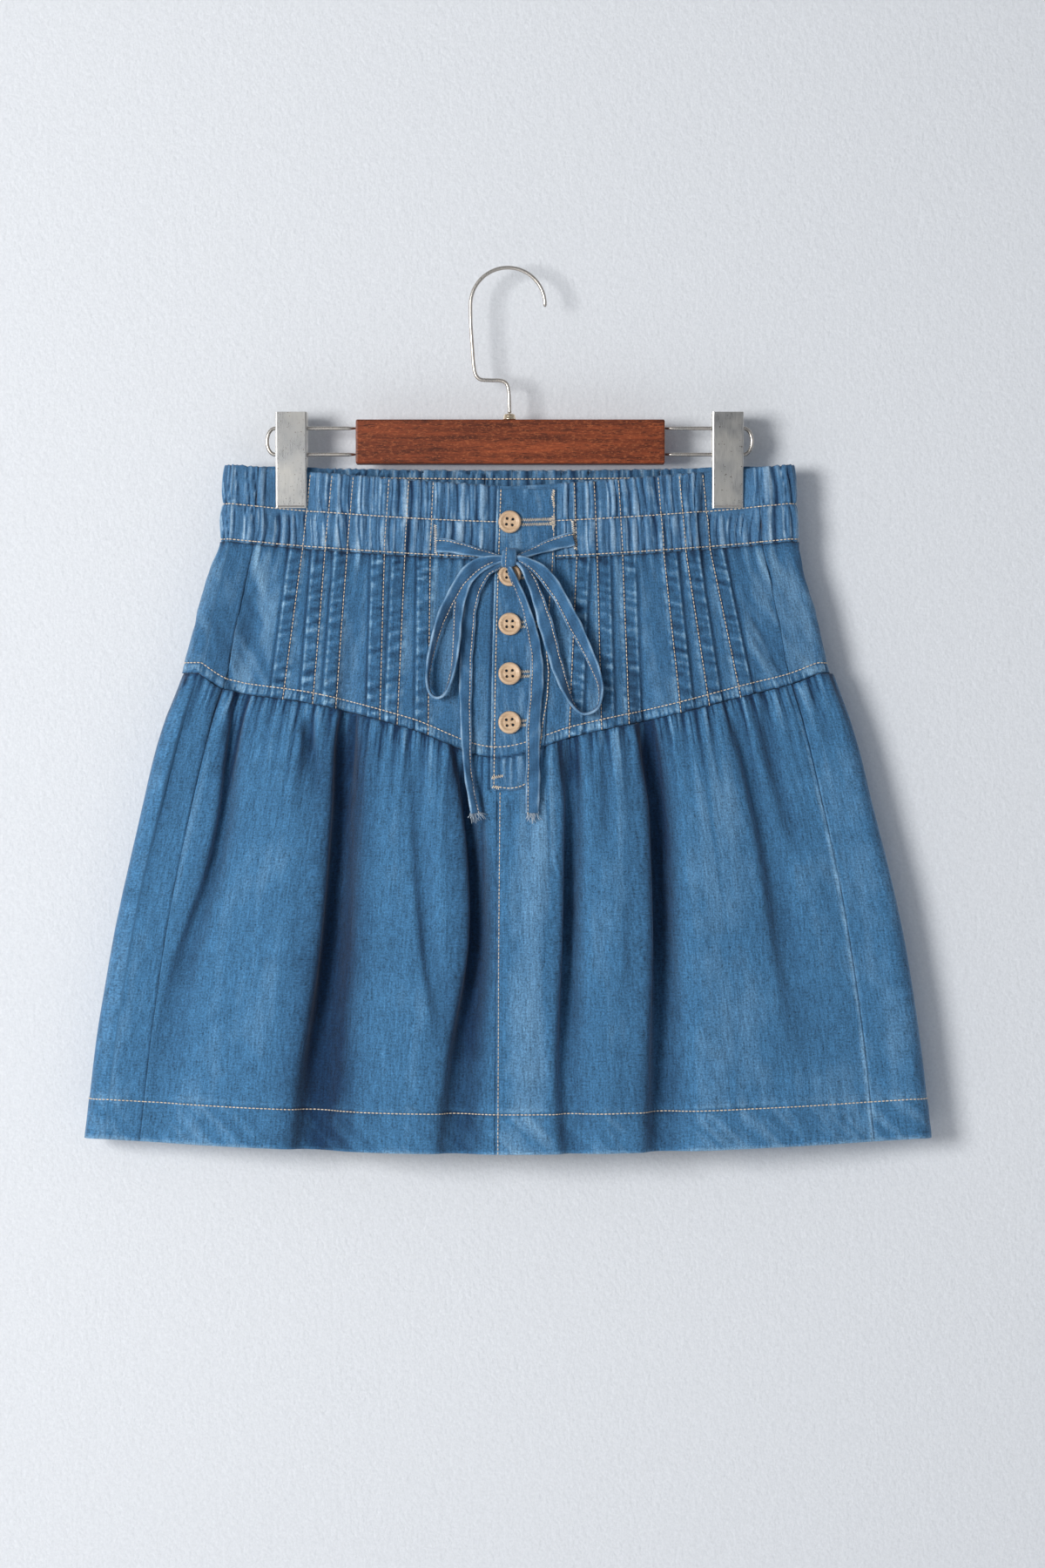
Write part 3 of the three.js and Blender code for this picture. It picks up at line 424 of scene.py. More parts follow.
def washed_denim_group():
    """Washed denim: twill weave, uneven slubs and a wash that has faded the ridges, coloured from an
    attribute that also holds painted shade and painted highlights.
    """
    tree, given, out = node_group(
        "washed_denim", "ShaderNodeTree",
        {"Deep_and_shade": "Color", "Blue": "Color", "Faded_and_lit": "Color", "Slub": "Float"},
        {"Color": "Color", "Height": "Float", "Roughness": "Float"},
    )
    uv = node(tree, "ShaderNodeUVMap", uv_map="cloth").outputs["UV"]
    wear_and_shade_layer = node(tree, "ShaderNodeAttribute", attribute_name="wear_and_shade").outputs["Fac"]

    def uneven(scale, detail, roughness, near, share):
        """Noise stretched along the threads, from -share to share."""
        plain = noise(tree, stretched(tree, uv, scale), 1, detail, roughness)
        return ranged(tree, plain, near, 1 - near, -share, share)

    streaks = uneven((900, 90, 1), 4, 0.7, 0.3, 0.5)
    crossing = uneven((150, 900, 1), 4, 0.65, 0.3, 0.2)
    grainy = uneven((1000, 800, 1), 3, 0.8, 0.3, 0.7)
    cloudy = uneven((34, 22, 1), 4, 0.55, 0.35, 0.045)
    drifts = uneven((170, 13, 1), 3, 0.6, 0.3, 0.03)
    slub = total(tree, streaks, crossing, grainy)
    wear_and_shade = math_node(tree, "ADD", total(tree, wear_and_shade_layer, cloudy), drifts, clamp=True)
    # Low values give the deep colour, mostly painted shade in hollows; high values the faded colour of worn
    # ridges and painted highlights.
    low = mixed(tree, ranged(tree, wear_and_shade, 0.0, 0.5, 0, 1), given["Deep_and_shade"], given["Blue"])
    color = mixed(tree, ranged(tree, wear_and_shade, 0.5, 1.0, 0, 1), low, given["Faded_and_lit"])
    tone = math_node(tree, "ADD", 1.0, math_node(tree, "MULTIPLY", slub, given["Slub"]))
    grey = node(tree, "ShaderNodeCombineColor", {"Red": tone, "Green": tone, "Blue": tone}).outputs["Color"]
    diagonal = node(tree, "ShaderNodeMapping", {"Vector": uv, "Rotation": (0, 0, math.radians(27))})
    twill = node(
        tree, "ShaderNodeTexWave",
        {"Vector": diagonal.outputs["Vector"], "Scale": 330, "Distortion": 1.2, "Detail": 1},
        wave_type="BANDS", bands_direction="X", wave_profile="SIN",
    )
    feed(tree, out, {
        "Color": mixed(tree, 1.0, color, grey, "MULTIPLY"),
        "Height": total(tree, math_node(tree, "MULTIPLY", twill.outputs["Fac"], 0.35), slub),
        "Roughness": ranged(tree, wear_and_shade, 0, 1, 0.94, 0.8),
    })
    return tree


WASHED_DENIM = washed_denim_group()


def denim(name, deep, blue, faded_and_lit_colour, slub=0.6):
    """Denim in three shades, from the painted shade of its hollows to its worn ridges with painted
    highlights.
    """
    material, tree, shader = new_material(
        name, {"Specular IOR Level": 0.25, "Sheen Weight": 0.15, "Sheen Roughness": 0.5}
    )
    wash = node(
        tree, "ShaderNodeGroup", {"Deep_and_shade": (*deep, 1), "Blue": (*blue, 1), "Faded_and_lit": (*faded_and_lit_colour, 1), "Slub": slub},
        node_tree=WASHED_DENIM,
    ).outputs
    feed(tree, shader, {"Base Color": wash["Color"], "Roughness": wash["Roughness"]})
    bumped(tree, shader, wash["Height"], 0.6, 0.15)
    return material


# Each denim's first colour is the painted shade of its hollows, its last the colour of worn ridges and
# painted highlights.
WAIST_DENIM = denim(
    "waistband_denim", (0.005, 0.024, 0.065), (0.060, 0.160, 0.293), (0.40, 0.56, 0.70), slub=0.5
)


def panel_places(panel, count):
    """Places across a panel, evenly spaced from seam to seam."""
    start, stop = PANELS[panel]
    gap = 0.1 / 2 / 360
    return np.linspace(start + gap, stop - gap, count)


def round_sides(places, extra):
    """Adds places on the side folds, which are short in q and bend sharply."""
    added = [np.linspace(1, 1 + SIDE, extra), np.linspace(2 + SIDE, ROUND, extra)]
    return np.unique(np.concatenate([places, *added]))


def wrapped(q):
    return np.where(q > ROUND, q - ROUND, q)


def cloth_uv(q, z):
    """Cloth coordinates in mm: along the thread across the panel, and down it."""
    return np.stack([np.broadcast_to(q * CLOTH_RUN, z.shape), z], axis=-1)


def panel_grid(panel, count, rows, upper, lower):
    places = panel_places(panel, count)
    if panel == "back":
        places = round_sides(places, 10)
    q = wrapped(places)
    share = np.linspace(0, 1, rows)[:, None]
    top = line_height(upper, q) - (SEAM_GAP / 2 if upper != "top" else 0)
    low = line_height(lower, q) + (SEAM_GAP / 2 if lower != "hem" else 0)
    z = top + (low - top) * share
    return places, np.broadcast_to(q, z.shape), z, share


# Each tuck's stitching: x at the bottom of the waistband and at the yoke's seam. It runs on up the waistband.
TUCKS = {
    "front_left": [(-131, -143), (-116.5, -124), (-102.5, -110), (-79, -81.5), (-66, -70.5), (-50, -51)],
    "front_right": [(42.5, 37.5), (55.5, 58), (71.5, 75), (97.5, 108), (111.5, 126), (127, 146)],
}
TUCK_SPREAD = -0.0007


def make_waistband(panel):
    places, q, z, share = panel_grid(panel, 380 if panel == "back" else 230, 56, "top", "row2")
    row1 = line_height("row1", q)
    row2 = line_height("row2", q)
    top = line_height("top", q)
    channel = np.where(z > row1, (top - z) / (top - row1), (row1 - z) / (row1 - row2))
    puff = np.sqrt(np.clip(np.sin(math.pi * np.clip(channel, 0, 1)), 0, 1))
    u = q * CLOTH_RUN
    lower = z <= row1
    seed = panel_seed(panel, 11)
    drift = (0.45 + 0.3 * np.sin(u / 23)) * np.sin(z / 11 + u / 17) / CLOTH_RUN
    wave = gathers(panel, WAIST_WAVES[panel], places[None, :] + drift * puff, 1.5)
    narrow = np.clip(ripple(u / 1.25, z / 30 + np.where(lower, 7.0, 0.0), seed), -1, 1)
    lean = 0.16 * np.sin(z / 7 + u / 21 + np.where(lower, 2.0, 0.0))
    lean = lean + 0.016 * (z - WAIST_MIDDLE) * np.sin(u / 31 + seed)
    fine, lit_ridge = pleats(u / 6.1 + lean + np.where(lower, 0.4, 0.0), seed)
    patchy = ease(0.5 + 0.8 * ripple(u / 9, z / 40, seed + 40))
    wave_share = 0.42 + 0.58 * puff
    free = (1 - grip(surface(q, z)[0], z) * ease((z + 159) / 7)) * (1 - under_placket(q, z))
    crimp = 0.2 * np.sin(u / 0.8 + 2 * np.sin(z / 3)) * (1 - puff)
    height = puff * WAIST_PUFF + WAIST_WAVE * wave_share * wave + 2.0 * (fine - 0.8) * (0.6 + 0.4 * patchy)
    height = free * (height + 0.3 * narrow * (0.4 + 0.6 * puff) + crimp)
    stitched = hump(z - row1, 1.1) + hump(z - row2 - 1.5, 1.0)
    height = height - 0.5 * stitched * free
    # Painted light and shade follow the gathers, ripples and pleats: valleys darker, crests lighter, on top
    # of random wear.
    wear_and_shade = 0.47 + 0.3 * free * (wave - 0.35) + 0.13 * narrow * free + 0.10 * ripple(u / 6, z / 9, seed + 20)
    wear_and_shade = wear_and_shade + free * (1.1 * np.minimum(fine - 0.72, 0) + 0.2 * (fine - 0.75)) * (0.5 + 0.5 * patchy)
    # Painted shade in the stitched rows' grooves and painted light and shade on the puckers by row 1; painted
    # highlights on the pleats' lit ridges; painted shadow beside the button strip's edge.
    wear_and_shade = wear_and_shade + 0.16 * hump(z - row1, 2.2) * np.sin(u / 1.1) * free - 0.14 * stitched
    wear_and_shade = wear_and_shade + 0.36 * free * lit_ridge * (0.25 + 0.75 * ease(0.5 + 0.9 * ripple(u / 5, z / 9, seed + 80)))
    wear_and_shade = wear_and_shade - 0.4 * strip_shade(q, z)
    for at_waist in [pair[0] for pairs in TUCKS.values() for pair in pairs]:
        line = at_waist * (1 + (z - LINES["row2"][0]) * TUCK_SPREAD)
        away = np.where(q <= 1, surface(q, z)[0] - line, 99)
        pull = fade(np.abs(away), 3.2)
        groove = hump(away, 0.6)
        height = height - 0.55 * groove
        # Painted shade in each tuck's stitched groove.
        wear_and_shade = wear_and_shade - 0.22 * groove + 0.14 * pull * ripple(z / 1.3, u / 9, seed + 60)
    z = z + (1.7 + free * (0.8 * (fine - 0.7) + 0.5 * narrow)) * (1 - share) ** 5
    points = raised(wrapped(places), z, height)
    piece = cloth_panel(f"waistband_{panel}_denim", points, wear_and_shade, cloth_uv(q, z), CASING - 0.4, WAIST_DENIM)
    settle(piece, "denim", f"waistband_{panel}")
    return piece


CLOTH_PIECES = {f"waistband_{panel}": make_waistband(panel) for panel in PANELS}


# ---------------------------------------------------------------- Yoke
# The yoke is flat denim cut to a point at the centre front. Six tucks on each side are pressed away from the
# middle and stitched down near their folded edge, which puckers them.
TUCK_WIDTH, TUCK_HEIGHT = 8.0, 1.3
YOKE_DENIM = denim("yoke_denim", (0.005, 0.024, 0.062), (0.038, 0.124, 0.241), (0.26, 0.44, 0.60), slub=0.7)


def make_yoke(panel):
    is_back = panel == "back"
    places, q, z, share = panel_grid(panel, 260 if is_back else 240, 70, "row2", "seam")
    x = place_across(q, z)
    u = q * CLOTH_RUN
    seed = panel_seed(panel, 31)
    height, wear_and_shade = np.zeros(z.shape), np.full(z.shape, 0.52)
    for i, (at_waist, at_seam) in enumerate(TUCKS.get(panel, [])):
        facing = -1 if panel == "front_left" else 1
        line = at_waist + (at_seam - at_waist) * share
        away = (x - line) * facing
        ladder = np.sin(z + 1.6 * np.sin(z / 5.3 + i) + 0.25 * away + 2 * i)
        ladder = ladder * (0.55 + 0.45 * ripple(z / 9, u / 40, seed + 90))
        pucker = 0.5 * ladder + 0.55 * ripple(z / 2.1 + i * 9, away / 6, seed + i)
        step = np.where(away > TUCK_WIDTH, np.clip(1 - (away - TUCK_WIDTH) / 0.5, 0, 1), 1)
        behind = 0.75 * ease(1 + away / 2.6)
        rise = TUCK_HEIGHT * np.where(away < 0, behind, 0.75 + 0.25 * np.clip(away / TUCK_WIDTH, 0, 1)) * step
        on_tuck = np.where((away > -0.5) & (away < TUCK_WIDTH + 0.2), 1, 0)
        groove = hump(away - 0.2, 0.55)
        height = height + rise - 0.45 * groove + 0.32 * pucker * on_tuck
        edge = hump(away - TUCK_WIDTH + 0.6, 0.9)
        near = hump(away + 1.6, 1.2)
        # Painted shade darkens each tuck's stitched groove and a line beside its folded edge, which stands
        # for the fold's shadow; the puckers are painted light and dark.
        wear_and_shade = wear_and_shade + on_tuck * (0.42 * pucker - 0.12) + 0.3 * edge - 0.5 * groove
        wear_and_shade = wear_and_shade + 0.24 * near * (0.4 + pucker)
        wear_and_shade = wear_and_shade - 0.38 * hump(away - TUCK_WIDTH - 1.2, 1.1)
    row2, seam = line_height("row2", q), line_height("seam", q)
    free = 1 - under_placket(q, z)
    from_waist, from_seam = row2 - z, z - seam
    tight = fade(from_waist, 9)
    wave = gathers(panel, WAIST_WAVES[panel], places[None, :] + 0 * z, 1.3)
    height = height + free * wave * (0.95 * tight * (1 - grip(x, z)) + 0.45 * fade(from_waist, 26))
    crinkle = ripple(u / 1.6, z / 9, seed + 50)
    height = height + free * 0.3 * crinkle * (fade(from_waist, 6) + fade(from_seam, 4))
    height = height + 0.22 * ripple(u / 9, z / 22, seed + 60)
    slant = ripple((u + 0.55 * z) / 10, (z - 0.3 * u) / 60, seed + 65)
    outer = ease((np.abs(x) - 142) / 18) if not is_back else 0.5
    height = height + 1.9 * slant * outer * (1 - tight)
    pinch, pinch_lit_ridge = pleats(u / 3.1 + 0.1 * np.sin(z / 3), seed)
    by_seam = free * hump(from_seam - 3, 3.2)
    height = height + 0.7 * (pinch - 0.7) * by_seam
    topstitch = hump(from_seam - 6.3, 0.8)
    height = height - 0.35 * topstitch
    # Painted light and shade follow the gathers below the waistband, the crinkles and the slanting creases at
    # the sides; painted shade darkens the topstitching's groove, the crimps' valleys by the seam, the band
    # just under the waistband, the line along the seam and the button strip's shadow; the crimps' lit ridges
    # get painted highlights.
    wear_and_shade = wear_and_shade + free * 0.52 * tight * (wave - 0.5) + 0.16 * crinkle * (fade(from_seam, 5) + tight)
    wear_and_shade = wear_and_shade + 0.10 * ripple(u / 14, z / 40, seed + 70) + 0.05 * fade(from_seam, 7) - 0.16 * topstitch
    wear_and_shade = wear_and_shade + (0.55 * (pinch - 0.78) + 0.25 * pinch_lit_ridge) * by_seam
    wear_and_shade = wear_and_shade + 0.2 * slant * outer - 0.35 * fade(from_waist, 1.2)
    seam_shade = hump(from_seam, 1.0)
    wear_and_shade = wear_and_shade - 0.25 * seam_shade - 0.4 * strip_shade(q, z)
    height = height + by_side(q, -1) * (3.1 * ease(share * 4) + 1.7 * share)
    points = raised(wrapped(places), z, height)
    piece = cloth_panel(f"yoke_{panel}_denim", points, wear_and_shade, cloth_uv(q, z), CLOTH - 0.4, YOKE_DENIM)
    settle(piece, "denim", f"yoke_{panel}")
    return piece


CLOTH_PIECES.update({f"yoke_{panel}": make_yoke(panel) for panel in PANELS})


# ---------------------------------------------------------------- Skirt
# The skirt is wider than the yoke that it is gathered into, so short pleats fan from the seam and the deepest
# run on down to the hem, which is turned up 25 mm inside and stitched once.
HEM_DEPTH = 25
SKIRT_DENIM = denim("skirt_denim", (0.005, 0.026, 0.07), (0.045, 0.148, 0.282), (0.26, 0.45, 0.63), slub=0.75)


def beside(folds, asides, spreads):
    """Folds like the given ones, each moved aside and spread by shares of its half widths."""
    return [
        (heights, [x + aside * w for x, w in zip(places, widths)], depths, [spread * w for w in widths])
        for (heights, places, depths, widths), aside, spread in zip(folds, asides, spreads)
    ]


# The cloth overhangs each front fold from its left, and its right side lies in the shade, which SHADES paints
# into the colour.
OVERHANGS = beside(FRONT_FOLDS, [-0.8] * 8, [0.42] * 8)
SHADES = beside(
    FRONT_FOLDS, [0.2, 0.4, 0.3, 0.3, 0.25, 0.3, 0.2, 0.3], [0.9, 1.4, 0.8, 0.8, 1.25, 0.75, 0.8, 0.8]
) + [  # towards the hem two folds open out to the right
    ([-430, -480, -556], [-113, -116, -117], [0, 10, 12], [10, 14, 16]),
    ([-430, -480, -556], [-22, -24, -28], [0, 5, 7], [8, 10, 12]),
]
SHORT_PLEATS = [  # small pleats that start at the yoke's seam, in the same columns as the folds
    ([-262, -305, -350, -410], [-202, -212, -222, -236], [3, 8, 6, 0], [5, 6, 7, 8]),
    ([-262, -305, -350, -380], [159, 165, 177, 185], [4, 15, 10, 0], [4, 5, 6, 6]),
    ([-285, -305, -345], [-104, -105, -107], [2, 10, 0], [7, 8, 9]),
    ([-285, -305, -340], [86, 86, 88], [2, 9, 0], [6, 6, 6]),
    ([-285, -310, -350, -375], [61, 61, 62, 62], [3, 7, 6, 0], [4, 4, 4, 4]),
    ([-285, -310, -335], [-127, -124, -122], [3, 10, 0], [5, 5, 5]),
    ([-285, -310, -335], [38, 38, 37], [2, 8, 0], [5, 7, 7]),
    ([-290, -310, -340], [22, 22, 23], [3, 6, 0], [4, 4, 4]),
]


def make_skirt(panel):
    is_back = panel == "back"
    places, q, z, share = panel_grid(panel, 280 if is_back else 200, 110 if is_back else 150, "seam", "hem")
    top, low = line_height("seam", q) - SEAM_GAP / 2, line_height("hem", q)
    z = top + (low - top) * share**1.25  # rows lie closer together by the seam
    u = q * CLOTH_RUN
    seed = panel_seed(panel, 51)
    drop = top - z
    free = 1 - under_placket(q, z)
    wave = gathers(panel, SEAM_WAVES[panel], places[None, :] + 0 * z, 1.5)
    reach = 15 + 34 * (0.5 + 0.5 * ripple(u / 9, 0 * u, seed)) ** 2
    near = 1 - fade(drop, 4)
    pleat = 3.0 * wave * fade(drop, reach) * (0.4 + 0.8 * near)
    small, small_lit_ridge = pleats(u / 4.1 + 0.15 * np.sin(z / 11 + u / 9), seed)
    short = fade(drop, 6 + 12 * (0.5 + 0.5 * ripple(u / 4, 0 * u, seed + 3)) ** 2)
    fine = ripple(u / 1.7, z / 40, seed + 5) * fade(drop, 10) + 2.3 * (small - 0.75) * short * near
    long_fold = ripple(u / 11, z / 160, seed + 8) * fade(drop, 110) * (1 - fade(drop, 12))
    height = free * (pleat + 0.45 * fine + 1.1 * long_fold)
    height = height + 0.7 * ripple(u / 14, z / 110, seed + 9) + 0.14 * ripple(u / 5, z / 19, seed + 10)
    hem = line_height("hem", q) + HEM_DEPTH
    hem_row = hump(z - hem, 0.9)
    in_hem = ease((hem - z) / 1.5)
    height = height - 0.4 * hem_row + 0.3 * in_hem + 0.12 * in_hem * ripple(u / 3.2, z / 18, seed + 12)
    # Painted shade in the valleys of the pleats and gathers under the seam, with painted light on their
    # crests and on the long folds.
    valley_shade = np.minimum(small - 0.7, 0) * fade(drop, 0.7 * reach)
    valley_shade = valley_shade + np.minimum(wave - 0.3, 0) * fade(drop, reach)
    wear_and_shade = 0.51 + free * (0.24 * (wave - 0.5) * fade(drop, 0.9 * reach) + 0.24 * fine + 1.0 * valley_shade)
    # Painted highlights on the small pleats' lit ridges; painted shade in the hem row's groove.
    wear_and_shade = wear_and_shade + 0.16 * free * small_lit_ridge * short * near
    wear_and_shade = wear_and_shade + 0.08 * long_fold + 0.03 * ripple(u / 12, z / 160, seed + 13) - 0.2 * hem_row
    roping = ripple((u + 0.8 * z) / 3.5, z / 30, seed + 15)
    puckers = ripple(u / 1.9, z / 20, seed + 16)
    by_hem_row = fade(np.abs(z - hem), 3.5)
    height = height + 0.25 * puckers * by_hem_row + 0.25 * in_hem * roping
    wear_and_shade = wear_and_shade + 0.10 * in_hem * roping + 0.25 * fade(z - low, 0.9) + 0.1 * fade(np.abs(z - hem - 2), 1.5)
    wear_and_shade = wear_and_shade + 0.13 * puckers * by_hem_row
    # Painted shade in a band just under the yoke's seam.
    wear_and_shade = wear_and_shade - 0.5 * fade(drop, 1.3) * (1.3 - small)
    x = place_across(q, z)
    front = q <= 1
    deep, overhang, shade, tucked = [
        np.where(front, fold_depth(folds, x, z), 0)
        for folds in (FRONT_FOLDS, OVERHANGS, SHADES, SHORT_PLEATS)
    ]
    height = height - 0.15 * deep + 0.42 * overhang - 0.3 * tucked
    # Painted shade in the large folds, their shaded sides and the short pleats, deeper near the top; lit is
    # painted light on the cloth between the centre folds.
    shade = shade * (1 + 0.5 * hump(z + 302, 28)) * (1 - 0.4 * ease((-380 - z) / 90) * (x > 0))
    lit = 0.11 * hump(x - 14, 16) + 0.06 * hump(x - 122, 24)
    wear_and_shade = wear_and_shade - 0.1 * (1 - fade(deep, 3)) - 0.008 * deep - 0.015 * shade - 0.022 * tucked
    wear_and_shade = wear_and_shade + np.where(front, lit * ease(drop / 60), 0)
    height = height + by_side(q, -1) * (3 + 3.5 * hump(z + 300, 45))
    height = height + by_side(q, 1) * (1.6 + 1.6 * hump(z + 295, 45))
    left_seam, right_seam = x - SIDE_SEAM[0] * reach_at(z), SIDE_SEAM[1] * reach_at(z) - x
    from_centre = np.where(front, np.abs(x - CENTRE_SEAM * reach_at(z)), 99)
    centre_pull = fade(from_centre, 3.5) * free * ripple(z / 2.6, u / 5, seed + 17)
    height = height + 0.3 * centre_pull
    # Painted shade along the centre seam.
    wear_and_shade = wear_and_shade + 0.14 * centre_pull - 0.12 * hump(from_centre, 0.8)
    wear_and_shade = wear_and_shade + np.where(front, 0.3 * hump(right_seam - 1.4, 1.3), 0) * (0.75 + 0.5 * roping)
    # Painted shadow beside the button strip's edge.
    wear_and_shade = wear_and_shade + np.where(front, 0.04 * hump(left_seam - 2, 1.5), 0) - 0.4 * strip_shade(q, z)
    points = raised(wrapped(places), z, height)
    piece = cloth_panel(f"skirt_{panel}_denim", points, wear_and_shade, cloth_uv(q, z), CLOTH - 0.4, SKIRT_DENIM)
    settle(piece, "denim", f"skirt_{panel}")
    return piece


CLOTH_PIECES.update({f"skirt_{panel}": make_skirt(panel) for panel in PANELS})


# ---------------------------------------------------------------- Button strip
# The button strip is a folded band of denim, stitched down both sides over the centre front, with its free
# edge on the left. It crosses the yoke seam and ends in a curved line of stitching and two bar tacks.
STRIP_TOP, STRIP_BOTTOM = -140.2, -330.8
STRIP_LIFT, STRIP_THICK = 0.45, 1.3
STRIP_DENIM = denim("button_strip_denim", (0.005, 0.024, 0.062), (0.042, 0.132, 0.256), (0.28, 0.45, 0.61))


def make_button_strip():
    rows, columns = 180, 60
    z = np.linspace(STRIP_TOP, STRIP_BOTTOM, rows)[:, None]
    left, right = along_table(STRIP_Z, STRIP_LEFT, z), along_table(STRIP_Z, STRIP_RIGHT, z)
    share = np.linspace(0, 1, columns)[None, :]
    x = left + (right - left) * share
    z = np.broadcast_to(z, x.shape)
    q = across_front(x, z)
    seam = line_height("seam", q)
    drop = seam - z
    below = ease(drop / 1.5)
    fall = ease((right - x) / 5)
    height = STRIP_LIFT + STRIP_THICK * (0.35 + 0.65 * fall)
    crinkle = ripple(x / 1.5, z / 8, 81)
    soft = ripple(x / 9, z / 14, 82)
    pleat = np.sin(x / 0.95 + 1.6 * np.sin(x / 3.1)) * fade(np.abs(drop), 9) * below
    groove = hump(drop, 0.8)
    edge_row = hump(x - left - 2.2, 0.7)
    height = height + 0.12 * crinkle + 0.15 * soft + 0.6 * pleat - 1.0 * groove - 0.3 * edge_row - 0.5 * below
    # Painted shade darkens the seam's groove and the edge row's stitching groove; the pleats under the seam
    # get painted light and shade.
    wear_and_shade = 0.5 + 0.12 * crinkle + 0.1 * soft + 0.28 * pleat - 0.45 * groove - 0.2 * edge_row
    wear_and_shade = wear_and_shade + 0.32 * hump(x - left, 0.9) * (1 - below) + 0.12 * np.sin(z / 1.3) * edge_row
    uv = np.stack([x + 900, z], axis=-1)
    piece = cloth_panel("button_strip", raised(q, z, height), wear_and_shade, uv, STRIP_THICK - 0.3, STRIP_DENIM)
    settle(piece, "denim", "placket")
    return piece


CLOTH_PIECES["strip"] = make_button_strip()


# ---------------------------------------------------------------- Stitching
# Tan topstitching thread runs in even lockstitches along every seam, a few millimetres from its edge. Each
# stitch is a short fat bead of thread, sunk a little at both ends.
STITCH_PITCH, STITCH_LONG, STITCH_WIDE, FINE_WIDE = 2.5, 2.15, 0.78, 0.62


def thread_material(name, color):
    material, tree, shader = new_material(name, {"Roughness": 0.7, "Specular IOR Level": 0.3})
    place = object_place(tree)
    tone = ranged(tree, noise(tree, place, 420, 2), 0.3, 0.7, 0.0, 1.0)
    dark = tuple(0.66 * c for c in color)
    feed(tree, shader, {"Base Color": mixed(tree, tone, (*dark, 1), (*color, 1))})
    bumped(tree, shader, noise(tree, place, 4200, 1), 0.4, 0.1)
    return material


TAN_THREAD = thread_material("tan_thread", (0.80, 0.66, 0.50))


def stitch_tree():
    """Lays a bead of thread at every pitch along the mesh's edges."""
    tree, given, out = node_group(
        "lockstitch", "GeometryNodeTree",
        {"Path": "Geometry", "Pitch": "Float", "Length": "Float", "Width": "Float", "Thread": "Material"},
        {"Stitches": "Geometry"},
    )
    curve = node(tree, "GeometryNodeMeshToCurve", {"Mesh": given["Path"]}).outputs["Curve"]
    even = {"Curve": curve, "Length": given["Pitch"]}
    spaced = node(tree, "GeometryNodeResampleCurve", even, mode="LENGTH")
    tangent = node(tree, "GeometryNodeInputTangent").outputs["Tangent"]
    turned = node(tree, "FunctionNodeAlignRotationToVector", {"Vector": tangent}, axis="Z")
    bead = node(tree, "GeometryNodeMeshUVSphere", {"Segments": 6, "Rings": 4, "Radius": 0.5})
    wide, long = given["Width"], given["Length"]
    size = node(tree, "ShaderNodeCombineXYZ", {"X": wide, "Y": wide, "Z": long})
    placed = node(tree, "GeometryNodeInstanceOnPoints", {
        "Points": spaced.outputs["Curve"], "Instance": bead.outputs["Mesh"],
        "Rotation": turned.outputs["Rotation"], "Scale": size.outputs["Vector"],
    })
    real = node(tree, "GeometryNodeRealizeInstances", {"Geometry": placed.outputs["Instances"]})
    colored = node(
        tree, "GeometryNodeSetMaterial", {"Geometry": real.outputs["Geometry"], "Material": given["Thread"]}
    )
    feed(tree, out, {"Stitches": colored.outputs["Geometry"]})
    return tree


LOCKSTITCH = stitch_tree()


def plain_mesh(piece, tree=None, values=None):
    """Turns a piece's modifiers, with the node tree if one is given, into its plain mesh."""
    if tree:
        nodes = piece.modifiers.new("nodes", "NODES")
        nodes.node_group = tree
        for item in tree.interface.items_tree:
            if item.in_out == "INPUT" and item.name in values:
                nodes[item.identifier] = values[item.name]
    bpy.context.view_layer.update()
    graph = bpy.context.evaluated_depsgraph_get()
    made = bpy.data.meshes.new_from_object(piece.evaluated_get(graph))
    piece.modifiers.clear()
    piece.data = made
    return piece


def sew(name, lines, pitch=STITCH_PITCH, length=STITCH_LONG, width=STITCH_WIDE, slot="denim"):
    """Sews lines of stitches in tan thread, each a list of points in mm."""
    points, edges = [], []
    for line in lines:
        first = len(points)
        points += [tuple(p) for p in np.asarray(line) * MM]
        edges += [(i, i + 1) for i in range(first, len(points) - 1)]
    mesh = bpy.data.meshes.new(name)
    mesh.from_pydata(points, edges, [])
    piece = new_object(name, mesh)
    sizes = {"Pitch": pitch * MM, "Length": length * MM, "Width": width * MM, "Thread": TAN_THREAD}
    plain_mesh(piece, LOCKSTITCH, sizes)
    piece.data.polygons.foreach_set("use_smooth", [True] * len(piece.data.polygons))
    return settle(piece, slot)


def cloth_tree(*names):
    """The outer faces of some cloth pieces, to seat stitches on."""
    points, faces = [], []
    for name in names:
        mesh = CLOTH_PIECES[name].data
        first = len(points)
        points += [v.co.copy() for v in mesh.vertices]
        faces += [[first + i for i in polygon.vertices] for polygon in mesh.polygons]
    return BVHTree.FromPolygons(points, faces)


def seated(tree, q, z, lift=0.2):
    """Points in mm where level lines through the places q and heights z meet the cloth."""
    q, z = np.broadcast_arrays(np.asarray(q, float), np.asarray(z, float))
    outside, inside = raised(q, z, 7.0), raised(q, z, -7.0)
    line = []
    for far, near in zip(outside, inside):
        way = Vector(near - far).normalized()
        hit = tree.ray_cast(Vector(far * MM), way, 16 * MM)[0]
        if hit is not None:
            line.append(np.array(hit) / MM - np.array(way) * lift)
    return line


def level_line(tree, line, start, stop, offset, count):
    """A line of stitches beside one of the garment's lines, from q start to stop."""
    q = wrapped(np.linspace(start, stop, count))
    return seated(tree, q, line_height(line, q) + offset)


def lengths_along(path):
    """The length along a path up to each of its points."""
    return np.concatenate([[0], np.cumsum(np.linalg.norm(np.diff(path, axis=0), axis=1))])


